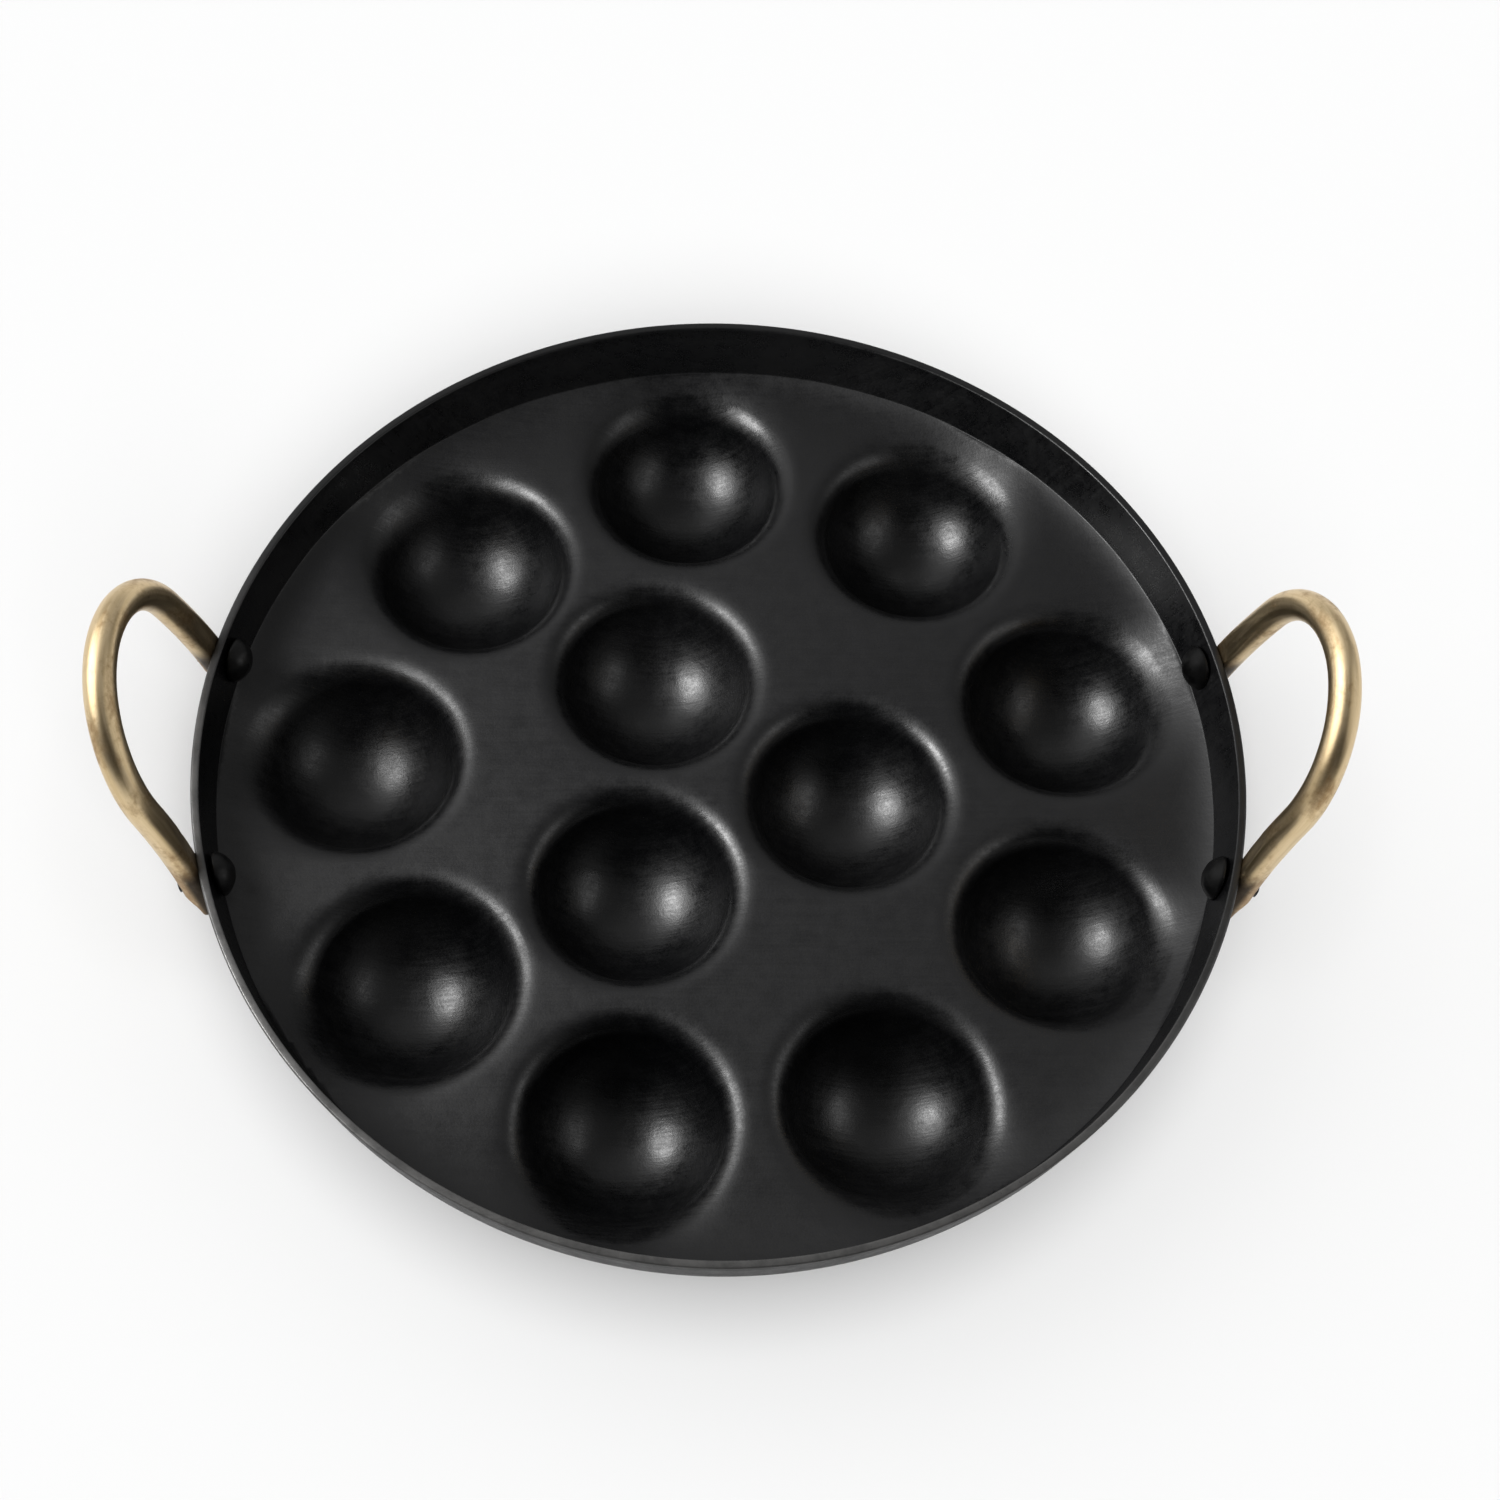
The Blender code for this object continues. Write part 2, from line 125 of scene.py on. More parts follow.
def camera_place():
    """The camera's matrix: behind the front edge, above it, and looking at the plate's middle."""
    place = Vector((0.0, -math.cos(CAMERA_TILT), math.sin(CAMERA_TILT))) * CAMERA_DISTANCE
    ahead = Vector((0.0, math.cos(CAMERA_TILT), -math.sin(CAMERA_TILT)))
    right = Vector((1.0, 0.0, 0.0))
    up = right.cross(ahead)
    yaw = Matrix.Rotation(CAMERA_YAW, 3, up)
    ahead, right = yaw @ ahead, yaw @ right
    pitch = Matrix.Rotation(CAMERA_PITCH, 3, right)
    ahead, up = pitch @ ahead, pitch @ up
    roll = Matrix.Rotation(CAMERA_ROLL, 3, ahead)
    right, up = roll @ right, roll @ up
    turned = Matrix((right, up, -ahead)).transposed().to_4x4()
    turned.translation = place
    lift = Matrix.Translation((0.0, 0.0, plate_z))
    return lift @ Matrix.Rotation(-PAN_TURN, 4, "Z") @ turned


camera_data = bpy.data.cameras.new("camera")
camera_data.sensor_width = 36.0
camera_data.lens = CAMERA_LENS
camera_data.clip_start = 10 * MM
camera_data.clip_end = 100.0
camera = new_object("camera", camera_data)
camera.matrix_world = camera_place()
bpy.context.scene.camera = camera
print("camera at, mm:", [round(v / MM, 1) for v in camera.matrix_world.translation])

# %% [markdown]
# ## Building node trees
#
# Materials, the world and Geometry Nodes are all trees of nodes. A few small helpers keep the cells
# short: one adds a node and fills its sockets, and the others do sums with numbers and vectors. A
# value that is itself a socket gets a link, and any other value is set on the socket.

# %% Node helpers
def fill(tree, socket, value):
    """Links a socket to the value, or sets the value on it."""
    if isinstance(value, bpy.types.NodeSocket):
        tree.links.new(value, socket)
    else:
        socket.default_value = value


def add(tree, kind, inputs=None, **settings):
    """Adds a node, with its settings and its input sockets by name or number."""
    made = tree.nodes.new(kind)
    for name, value in settings.items():
        setattr(made, name, value)
    for name, value in (inputs or {}).items():
        fill(tree, made.inputs[name], value)
    return made


def output(tree, kind, inputs=None, **settings):
    """The first output of a node that is added."""
    return add(tree, kind, inputs, **settings).outputs[0]


def maths(tree, operation, *values, clamp=False):
    """A Math node's result."""
    made = add(tree, "ShaderNodeMath", dict(enumerate(values)), operation=operation)
    made.use_clamp = clamp
    return made.outputs[0]


def vectors(tree, operation, *values):
    """A Vector Math node's result, which is a number for a length or a dot product."""
    made = add(tree, "ShaderNodeVectorMath", dict(enumerate(values)), operation=operation)
    return made.outputs["Value" if operation in ("LENGTH", "DOT_PRODUCT") else "Vector"]


def scaled(tree, vector, factor):
    """A vector times a number."""
    return output(tree, "ShaderNodeVectorMath", {0: vector, "Scale": factor}, operation="SCALE")


def combined(tree, **parts):
    """A vector from its named parts, X, Y and Z, where those left out are 0."""
    return output(tree, "ShaderNodeCombineXYZ", parts)


def split(tree, vector):
    """The named parts of a vector, and the same vector laid flat, which points away from the pan's axis."""
    xyz = add(tree, "ShaderNodeSeparateXYZ", {"Vector": vector}).outputs
    return xyz, combined(tree, X=xyz["X"], Y=xyz["Y"])


def ramp(tree, value, low, high, start=0.0, end=1.0):
    """A value's share of the way from low to high, eased, as a number from start to end."""
    inputs = {"Value": value, "From Min": low, "From Max": high, "To Min": start, "To Max": end}
    return output(tree, "ShaderNodeMapRange", inputs, interpolation_type="SMOOTHSTEP")


# %% [markdown]
# ## Cross sections
#
# Everything on the pan but the handles is round, so it starts as half a cross section: a row of
# points of radius and height, turned round an axis. Arcs take their steps closer together where
# they leave a flat, so that the smooth shading doesn't bleed on to the flat.

# %% Arcs and turned surfaces
NOTHING = 1e-9


def arc(centre, radius, start, end, steps, ease=1.0):
    """Points of an arc, with angles in radians from +X towards +Z."""
    points = []
    for i in range(steps + 1):
        angle = start + (end - start) * (i / steps) ** ease
        points.append((centre[0] + radius * math.cos(angle), centre[1] + radius * math.sin(angle)))
    return points


def turn_round(target, profile, sides):
    """Adds the surface that a profile of (radius, z) points makes when turned round the Z axis."""
    rings = []
    for radius, z in profile:
        if radius < NOTHING:
            rings.append([target.verts.new((0.0, 0.0, z))] * sides)
            continue
        angles = [2 * math.pi * i / sides for i in range(sides)]
        rings.append([target.verts.new((radius * math.cos(a), radius * math.sin(a), z)) for a in angles])
    for lower, upper in zip(rings, rings[1:]):
        for i in range(sides):
            j = (i + 1) % sides
            corners = [lower[i], lower[j], upper[j], upper[i]]
            target.faces.new(list(dict.fromkeys(corners)))


def mesh_object(name, source):
    """A mesh object at the origin made from a bmesh, which is freed."""
    mesh = bpy.data.meshes.new(name)
    source.to_mesh(mesh)
    source.free()
    return new_object(name, mesh)


# %% [markdown]
# ## One pit
#
# A pit is pressed with a round punch, so its hollow is half a sphere, and the sheet draws over the
# die's edge in a wide soft shoulder that runs out on to the plate. The shoulder is wider than the
# solid's, so the hollow is 0.8 mm smaller to keep the mouth's width. Underneath, the same pit is a
# bowl one sheet thicker, with a small flat at its bottom that the pan stands on. The pit could be
# cut from the plate with a Boolean, but that leaves slivers where the shoulder runs out. Here the
# pit's skin is made alone, with its outermost ring exactly on the hole that the plate leaves for
# it. The plate's share of the shoulder comes later, when both are one skin, and lowers the pit by
# the shoulder's depth at that ring, so the inner skin, marked as upper, is that much higher here.

# %% Pit skin, inside and underneath
PIT_SIDES = 96
BOWL_SIDES = 48
MOUTH_STEPS, MOUTH_EASE = 12, 1.2
SPHERE_STEPS, BOWL_STEPS = 20, 12
SHOULDER_ROUND = 7.0 * MM
HOLLOW_RADIUS = 23.2 * MM
under_round = MOUTH_ROUND - SHEET


def pit_profile(sphere_radius, round_radius, drop, flat_radius, steps):
    """Half outline of a pit below the plate's top, from the mouth's ring to the axis."""
    centre_z = -drop - round_radius
    centre_x = math.sqrt((sphere_radius + round_radius) ** 2 - centre_z ** 2)
    meet = math.atan2(centre_z, centre_x)
    first = math.acos(min(0.0, mouth_radius - centre_x) / round_radius)
    rounding = arc((centre_x, centre_z), round_radius, first, math.pi + meet, MOUTH_STEPS, MOUTH_EASE)
    rounding[0] = (mouth_radius, rounding[0][1])
    bottom = -math.acos(flat_radius / sphere_radius)
    sphere = arc((0.0, 0.0), sphere_radius, meet, bottom, steps)[1:]
    bottom_z = sphere[-1][1]
    sphere = sphere + [(flat_radius / 2, bottom_z)] if flat_radius else sphere[:-1]
    return rounding + sphere + [(0.0, bottom_z)]


hollow = pit_profile(HOLLOW_RADIUS, SHOULDER_ROUND, 0.0, 0.0, SPHERE_STEPS)
mouth_sag = -hollow[0][1]
shoulder_start = math.sqrt((HOLLOW_RADIUS + SHOULDER_ROUND) ** 2 - SHOULDER_ROUND ** 2)
mouth_slope = math.tan(math.asin((shoulder_start - mouth_radius) / SHOULDER_ROUND))
pit = bmesh.new()
upper = pit.verts.layers.float.new("upper")
turn_round(pit, [(radius, z + mouth_sag) for radius, z in hollow], PIT_SIDES)
for vert in pit.verts:
    vert[upper] = 1.0
turn_round(pit, pit_profile(PIT_RADIUS + SHEET, under_round, SHEET, PIT_FLAT_RADIUS, BOWL_STEPS), BOWL_SIDES)
pit_skin = mesh_object("pit_skin", pit)
print(f"one pit has {len(pit_skin.data.polygons)} faces, and its mouth's ring is {mouth_sag / MM:.2f} mm down")

# %% [markdown]
# ## The plate and its wall
#
# The plate is flat between the pits, so it needs few faces there. A constrained Delaunay mesh
# fills the space between the outer circle and the twelve mouths with even triangles, small ones on
# top, where the shoulders and the edge will bend them, and large ones underneath. The wall is a
# cross section turned round: the crisp fold at the plate's edge, the leaning inner face, the cut
# rim with its slightly rounded edges, and the same way back outside. The fold is sharper than in the
# solid and lies a little nearer to the axis, so the metal is thicker at the wall's foot.

# %% Where the pits lie
def ring_places(count, radius, turn, shift):
    """Centres of one ring of pits, on the plate's plane."""
    angles = [turn + 2 * math.pi * i / count for i in range(count)]
    return [Vector((radius * math.cos(a), radius * math.sin(a), 0.0)) + shift for a in angles]


pit_places = ring_places(OUTER_PITS, outer_ring_radius, OUTER_RING_TURN, OUTER_RING_SHIFT)
pit_places += ring_places(INNER_PITS, inner_ring_radius, INNER_RING_TURN, INNER_RING_SHIFT)
print(len(pit_places), "pits")

# %% Flat sheet between the pits
DISH_SIDES = 288
TOP_GRID = 1.0 * MM
UNDER_GRID = 4.0 * MM
SAME_POINT = 1e-7


def circle(centre, radius, sides):
    """Points evenly round a circle."""
    angles = [2 * math.pi * i / sides for i in range(sides)]
    return [Vector((centre[0] + radius * math.cos(a), centre[1] + radius * math.sin(a))) for a in angles]


def in_sheet(x, y, outer, margin):
    """Whether a point lies on the sheet, at least margin from its outer edge and every mouth."""
    if math.hypot(x, y) > outer - margin:
        return False
    return all(math.hypot(x - p.x, y - p.y) > mouth_radius + margin for p in pit_places)


def add_sheet(target, outer, sides, z, grid):
    """Fills the plate between its outer circle and the mouths with even triangles of one size."""
    points, edges = [], []
    rounds = [((0.0, 0.0), outer, DISH_SIDES)] + [(p, mouth_radius, sides) for p in pit_places]
    for centre, radius, count in rounds:
        first = len(points)
        points += circle(centre, radius, count)
        edges += [(first + i, first + (i + 1) % count) for i in range(count)]
    row_height = grid * math.sqrt(0.75)
    rows = int(outer / row_height) + 1
    for i in range(-rows, rows + 1):
        for j in range(-rows, rows + 1):
            x, y = (i + 0.5 * (j % 2)) * grid, j * row_height
            if in_sheet(x, y, outer, grid / 2):
                points.append(Vector((x, y)))
    made = geometry.delaunay_2d_cdt(points, edges, [], 0, SAME_POINT)
    verts = [target.verts.new((v.x, v.y, z)) for v in made[0]]
    for face in made[2]:
        x, y = (sum(made[0][i][k] for i in face) / 3 for k in (0, 1))
        if in_sheet(x, y, outer, 0.0):
            target.faces.new([verts[i] for i in face])


# The plate turns up towards the wall before the fold: how high, over what width and how suddenly
UPTURN_RISE = 3.0 * MM
UPTURN_WIDTH = 24.0 * MM
UPTURN_POWER = 4.8
FOLD_ROUND = 0.6 * MM
FOLD_RADIUS = 119.7 * MM
upturn_angle = math.atan(UPTURN_POWER * UPTURN_RISE / UPTURN_WIDTH)
inner_lean = math.atan2(wall_inside_radius(rim_z) - FOLD_RADIUS, rim_z - plate_z - UPTURN_RISE)
fold_side = FOLD_ROUND * (math.cos(upturn_angle) * math.sin(inner_lean) - 1.0)
fold_x = FOLD_RADIUS + FOLD_ROUND * math.sin(upturn_angle) + fold_side / math.cos(inner_lean)
fillet_x = floor_radius - FLOOR_FILLET * math.tan((math.pi / 2 - WALL_FLARE) / 2)

dish = bmesh.new()
add_sheet(dish, fold_x, PIT_SIDES, plate_z, TOP_GRID)
add_sheet(dish, fillet_x, BOWL_SIDES, underside_z, UNDER_GRID)
print("plate has", len(dish.faces), "faces")

# %% Wall and rim
FILLET_STEPS, RIM_STEPS, WALL_ROWS = 8, 5, 4
SAME_HEIGHT = 1e-3 * MM


def wall_profile():
    """Half section of the wall, from the plate's top over the rim to the underside."""
    start = -math.pi / 2 + upturn_angle
    fold = (fold_x - FOLD_ROUND * math.sin(upturn_angle),
            plate_z + UPTURN_RISE + FOLD_ROUND * math.cos(upturn_angle))
    inner = arc(fold, FOLD_ROUND, start, -inner_lean, FILLET_STEPS)
    inner[0] = (fold_x, plate_z)
    fillet = (fillet_x, plate_z + FLOOR_FILLET)
    outer = arc(fillet, FLOOR_FILLET + SHEET, -WALL_FLARE, -math.pi / 2, FILLET_STEPS)
    top = rim_z - RIM_ROUND
    rim_in = (wall_inside_radius(rim_z) + RIM_ROUND, top)
    rim_out = (wall_outside_radius(rim_z) - RIM_ROUND, top)
    rim = arc(rim_in, RIM_ROUND, math.pi, math.pi / 2, RIM_STEPS)
    rim += arc(rim_out, RIM_ROUND, math.pi / 2, 0.0, RIM_STEPS)
    rows = []
    for start, end in ((inner[-1], rim[0]), (rim[-1], outer[0])):
        steps = [i / WALL_ROWS for i in range(1, WALL_ROWS)]
        rows.append([(start[0] + (end[0] - start[0]) * s, start[1] + (end[1] - start[1]) * s) for s in steps])
    return inner + rows[0] + rim + rows[1] + outer


turn_round(dish, wall_profile(), DISH_SIDES)
# The plate's top is marked 1 and the wall's inside 2
upper = dish.verts.layers.float.new("upper")
for vert in dish.verts:
    middle = (wall_inside_radius(vert.co.z) + wall_outside_radius(vert.co.z)) / 2
    if abs(vert.co.z - plate_z) < SAME_HEIGHT:
        vert[upper] = 1.0
    elif vert.co.z > plate_z and math.hypot(vert.co.x, vert.co.y) < middle:
        vert[upper] = 2.0
dish_skin = mesh_object("pan_body_fine", dish)
print("plate and wall have", len(dish_skin.data.polygons), "faces")

# %% [markdown]
# ## Pressing the pits with Geometry Nodes
#
# The pit is the same twelve times, in a ring of nine and a ring of three, so a Geometry Nodes tree
# places it: two mesh circles give the points, and each point gets a copy. The rings' radius, turn
# and shift are inputs of the tree. Merge by Distance then welds each copy to its hole, and the
# whole pan is one closed skin. Realize Instances comes before the weld, and Set Material after it.

# %% Geometry Nodes helpers
KINDS = {float: "NodeSocketFloat", int: "NodeSocketInt", Vector: "NodeSocketVector",
         bpy.types.Object: "NodeSocketObject"}
FINISH = ("GeometryNodeSetShadeSmooth", "GeometryNodeRealizeInstances", "GeometryNodeSetMaterial")


def new_tree(name, sizes):
    """A Geometry Nodes tree with a geometry in and out, and one named input for each size."""
    tree = bpy.data.node_groups.new(name, "GeometryNodeTree")
    tree.interface.new_socket("Geometry", in_out="INPUT", socket_type="NodeSocketGeometry")
    tree.interface.new_socket("Geometry", in_out="OUTPUT", socket_type="NodeSocketGeometry")
    for label, value in sizes.items():
        kind = next(k for t, k in KINDS.items() if isinstance(value, t))
        tree.interface.new_socket(label, in_out="INPUT", socket_type=kind)
    return tree, tree.nodes.new("NodeGroupInput").outputs, tree.nodes.new("NodeGroupOutput").inputs


def run_tree(made, tree, sizes):
    """Evaluates the tree on an object with these sizes, and leaves a plain mesh on it."""
    modifier = made.modifiers.new(tree.name, "NODES")
    modifier.node_group = tree
    sockets = {s.name: s.identifier for s in tree.interface.items_tree if s.in_out == "INPUT"}
    for label, value in sizes.items():
        modifier[sockets[label]] = value
    bpy.context.view_layer.update()
    evaluated = made.evaluated_get(bpy.context.evaluated_depsgraph_get())
    mesh = bpy.data.meshes.new_from_object(evaluated)
    made.modifiers.clear()
    old, made.data = made.data, mesh
    bpy.data.meshes.remove(old)
    return made


def chain(tree, shape, *kinds):
    """Sends geometry through nodes of these kinds, one after another."""
    for kind in kinds:
        shape = output(tree, kind, {"Geometry": shape})
    return shape


def moved(tree, shape, offset):
    """Geometry with its points moved by an offset."""
    return output(tree, "GeometryNodeSetPosition", {"Geometry": shape, "Offset": offset})


def laid(tree, shape, turn, shift=(0.0, 0.0, 0.0)):
    """Geometry that is turned and then shifted."""
    return output(tree, "GeometryNodeTransform", {"Geometry": shape, "Rotation": turn, "Translation": shift})


def stored(tree, shape, name, value, kind="FLOAT_VECTOR"):
    """Geometry with a value stored on its points, under a name."""
    return output(tree, "GeometryNodeStoreNamedAttribute", {"Geometry": shape, "Name": name, "Value": value},
                  data_type=kind, domain="POINT")


def named(tree, label, kind="FLOAT_VECTOR"):
    """The value that is stored on the points under a name."""
    return output(tree, "GeometryNodeInputNamedAttribute", {"Name": label}, data_type=kind)


# %% Tree that presses the pits
WELD = 0.005 * MM
pit_sizes = {"Pit": pit_skin, "Plate height": plate_z, "Outer pits": OUTER_PITS, "Inner pits": INNER_PITS,
             "Outer ring": outer_ring_radius, "Inner ring": inner_ring_radius,
             "Outer turn": OUTER_RING_TURN, "Inner turn": INNER_RING_TURN,
             "Outer shift": OUTER_RING_SHIFT, "Inner shift": INNER_RING_SHIFT}
press, given, result = new_tree("press_pits", pit_sizes)
pit_copy = add(press, "GeometryNodeObjectInfo", {"Object": given["Pit"]}).outputs["Geometry"]
skins = add(press, "GeometryNodeJoinGeometry")
for ring in ("Outer", "Inner"):
    points = output(press, "GeometryNodeMeshCircle",
                    {"Vertices": given[ring + " pits"], "Radius": given[ring + " ring"]})
    shift = vectors(press, "ADD", given[ring + " shift"], combined(press, Z=given["Plate height"]))
    points = laid(press, points, combined(press, Z=given[ring + " turn"]), shift)
    copies = output(press, "GeometryNodeInstanceOnPoints", {"Points": points, "Instance": pit_copy})
    press.links.new(copies, skins.inputs["Geometry"])
press.links.new(given["Geometry"], skins.inputs["Geometry"])
real = chain(press, skins.outputs["Geometry"], "GeometryNodeRealizeInstances")
welded = output(press, "GeometryNodeMergeByDistance", {"Geometry": real, "Distance": WELD})
press.links.new(chain(press, welded, "GeometryNodeSetShadeSmooth", "GeometryNodeSetMaterial"), result["Geometry"])

pan_body = run_tree(dish_skin, press, pit_sizes)
bpy.data.objects.remove(pit_skin)

# %% [markdown]
# ## Drawing the plate's top
#
# Pressing pulls the sheet down round every pit and leaves the plate's edge a little turned up. Both
# follow a rule, so they are added to the finished skin: each upper point is lowered by all the
# mouths near it, which gives the soft saddles between neighbours, and raised by its distance to
# the wall. A modifier or a sculpt could do it, but a sum over twelve pits is plainest in Python.
#
# The fold between plate and wall wanders in and out by about 2 mm, and the wall's inside follows it
# up to the rim. The narrow land between an outer pit and the wall sags into the pit, so on that
# side the shoulder is twice as wide. The sheet keeps its thickness, so the underside sags with it.

# %% Shoulders and upturned edge
SHOULDER_REACH = 4.0 * MM
# How far down a pit's side the upturn and the fold's wandering still pull
UPTURN_FADE = 12.0 * MM
WALL_SIDE_ROUND = 14.0 * MM
WALL_SIDE_POWER = 1.5
# Each skin of the sheet as ball, flat, usual round and round on the wall's side
TOP_SKIN = (HOLLOW_RADIUS, 0.0, SHOULDER_ROUND, WALL_SIDE_ROUND)
UNDER_SKIN = (PIT_RADIUS + SHEET, SHEET, under_round, WALL_SIDE_ROUND - SHEET)
# How far out of its circle the fold lies, in mm, every 15 degrees round the pan
FOLD_WANDER = (-0.4, -0.45, -0.5, -0.8, -1.2, -1.8, -2.2, -1.95, -1.1, -0.3, 0.3, 0.6,
               0.9, 1.1, 1.3, 1.45, 1.55, 1.6, 1.6, 1.5, 1.3, 1.1, 0.8, 0.1)
# The power that carries on the shoulder's slope from the mouth's ring to the flat plate
shoulder_power = mouth_slope * SHOULDER_REACH / mouth_sag


def fold_shift(x, y):
    """How far the fold is moved out or in where it lies in the direction of a point."""
    turn = math.degrees(math.atan2(y, x)) % 360.0 * len(FOLD_WANDER) / 360.0
    before = int(turn) % len(FOLD_WANDER)
    after = (before + 1) % len(FOLD_WANDER)
    share = turn - int(turn)
    share *= share * (3.0 - 2.0 * share)
    wander = FOLD_WANDER[before] * (1.0 - share) + FOLD_WANDER[after] * share
    return Vector((x, y, 0.0)).normalized() * wander * MM


def drawn_depth(away, ball, flat, round_radius):
    """Depth below the plate's top, at a distance from a pit's axis, of a ball rounded on to a flat."""
    starts = math.sqrt((ball + round_radius) ** 2 - (flat + round_radius) ** 2)
    if away >= starts:
        return flat
    if away >= starts * ball / (ball + round_radius):
        return flat + round_radius - math.sqrt(round_radius ** 2 - (starts - away) ** 2)
    return math.sqrt(ball ** 2 - away ** 2)


def wall_side_sag(x, y, ball, flat, usual, wide):
    """How much lower a point lies because it is on the wall's side of an outer pit."""
    sag = 0.0
    for place in pit_places[:OUTER_PITS]:
        off = Vector((x - place.x, y - place.y, 0.0))
        outward = max(0.0, off.dot(place) / max(off.length * place.length, NOTHING))
        wider = drawn_depth(off.length, ball, flat, wide) - drawn_depth(off.length, ball, flat, usual)
        sag += max(0.0, wider) * outward ** WALL_SIDE_POWER
    return sag


def plate_move(x, y, z):
    """How a point of the plate's top or of a pit's hollow moves."""
    deep = max(0.0, 1.0 - max(0.0, plate_z - z) / UPTURN_FADE)
    rise = max(0.0, math.hypot(x, y) - (fold_x - UPTURN_WIDTH)) / UPTURN_WIDTH
    move = fold_shift(x, y) * rise ** 2 * deep
    move.z += UPTURN_RISE * rise ** UPTURN_POWER * deep ** 2 - wall_side_sag(x, y, *TOP_SKIN)
    for place in pit_places:
        gap = max(0.0, math.hypot(x - place.x, y - place.y) - mouth_radius)
        if gap < SHOULDER_REACH:
            move.z -= mouth_sag * (1.0 - gap / SHOULDER_REACH) ** shoulder_power
    return move


def draw_top(made):
    """Moves the points by their marks: 1 on the plate's top, 2 on the wall's inside and 0 elsewhere."""
    marks = made.data.attributes["upper"]
    for vertex, mark in zip(made.data.vertices, marks.data):
        x, y, z = vertex.co
        if mark.value > 1.5:
            vertex.co += fold_shift(x, y) * min(1.0, (rim_z - z) / (rim_z - plate_z - UPTURN_RISE))
        elif mark.value > 0.5:
            vertex.co += plate_move(x, y, z)
        elif z < plate_z:
            vertex.co.z -= wall_side_sag(x, y, *UNDER_SKIN)
    made.data.attributes.remove(marks)


def face_outwards(made):
    """Turns every face of a closed mesh outwards and counts the edges that aren't closed."""
    shell = bmesh.new()
    shell.from_mesh(made.data)
    bmesh.ops.recalc_face_normals(shell, faces=shell.faces)
    loose = sum(len(edge.link_faces) != 2 for edge in shell.edges)
    shell.to_mesh(made.data)
    shell.free()
    print(made.name, len(made.data.polygons), "faces,", loose, "open edges")


draw_top(pan_body)
face_outwards(pan_body)

# %% [markdown]
# ## The handles
#
# Each handle is one round brass bar, bent over a former into an arch, splayed down to two legs and
# leaned outwards. Its legs lie along the wall and are riveted through it. A curve could carry a
# bevel, but Geometry Nodes also keep the bar's own straight coordinates, so that the material can
# put its polishing lines along the bar. The tree sweeps a round section along the centre line,
# beats the legs flatter below the rivets and presses them flat where they would enter the wall.

# %% Sizes of the handles
BAR_RADIUS = 3.75 * MM
BAR_SEAT_DEPTH = 1.3 * MM
FIT_GAP = 0.3 * MM
HANDLE_REACH = 55.5 * MM
ARCH_RADIUS = 27.0 * MM
LEAN_GAIN = math.radians(13.9)
LEG_BELOW_RIVET = 9.5 * MM
LEG_END_ROUND = 3.0 * MM
HANDLE_DRIFT = math.radians(0.44)
RIVET_SPACING = 58.2 * MM
LEG_FLAT_START = 3.0 * MM
LEG_FLAT_RUN = 7.0 * MM
LEG_FLATTENING = 0.6
LEG_STEPS, ARCH_STEPS, LEG_END_STEPS = 60, 56, 12

rivet_azimuth = math.asin(RIVET_SPACING / 2 / wall_outside_radius(rivet_z))
bar_axis_out = FIT_GAP + BAR_RADIUS - BAR_SEAT_DEPTH
bar_axis_radius = wall_outside_radius(rivet_z) + bar_axis_out * math.cos(WALL_FLARE)
RIGHT_TURN, LEFT_TURN = -HANDLE_DRIFT, math.pi + HANDLE_DRIFT


def lean_offset(height):
    """How far out and up the bar is when it is `height` along the handle, and its lean there."""
    if height <= 0.0:
        return height * math.sin(WALL_FLARE), height * math.cos(WALL_FLARE), WALL_FLARE
    gain = LEAN_GAIN / HANDLE_REACH
    lean = WALL_FLARE + gain * height
    out = (math.cos(WALL_FLARE) - math.cos(lean)) / gain
    return out, (math.sin(lean) - math.sin(WALL_FLARE)) / gain, lean


# %% Centre line of a handle
def bar_outline():
    """(y, height, thickness share) from one leg's end, over the arch, to the other's."""
    base_y = bar_axis_radius * math.sin(rivet_azimuth)
    centre = HANDLE_REACH - ARCH_RADIUS
    touch = math.atan2(-centre, base_y) + math.acos(ARCH_RADIUS / math.hypot(base_y, centre))
    touch_height = centre + ARCH_RADIUS * math.sin(touch)
    splay = (ARCH_RADIUS * math.cos(touch) - base_y) / touch_height
    half = []
    # The leg's end turns over in a quarter circle, so the share of thickness falls to nothing
    for i in range(LEG_END_STEPS):
        angle = math.pi / 2 * (i + 0.5) / LEG_END_STEPS
        height = -LEG_BELOW_RIVET - LEG_END_ROUND * math.cos(angle)
        half.append((base_y + splay * height, height, math.sin(angle)))
    for i in range(LEG_STEPS):
        height = -LEG_BELOW_RIVET + (touch_height + LEG_BELOW_RIVET) * i / LEG_STEPS
        half.append((base_y + splay * height, height, 1.0))
    for i in range(ARCH_STEPS + 1):
        angle = touch + (math.pi / 2 - touch) * i / ARCH_STEPS
        half.append((ARCH_RADIUS * math.cos(angle), centre + ARCH_RADIUS * math.sin(angle), 1.0))
    return half + [(-y, h, t) for y, h, t in reversed(half[:-1])]


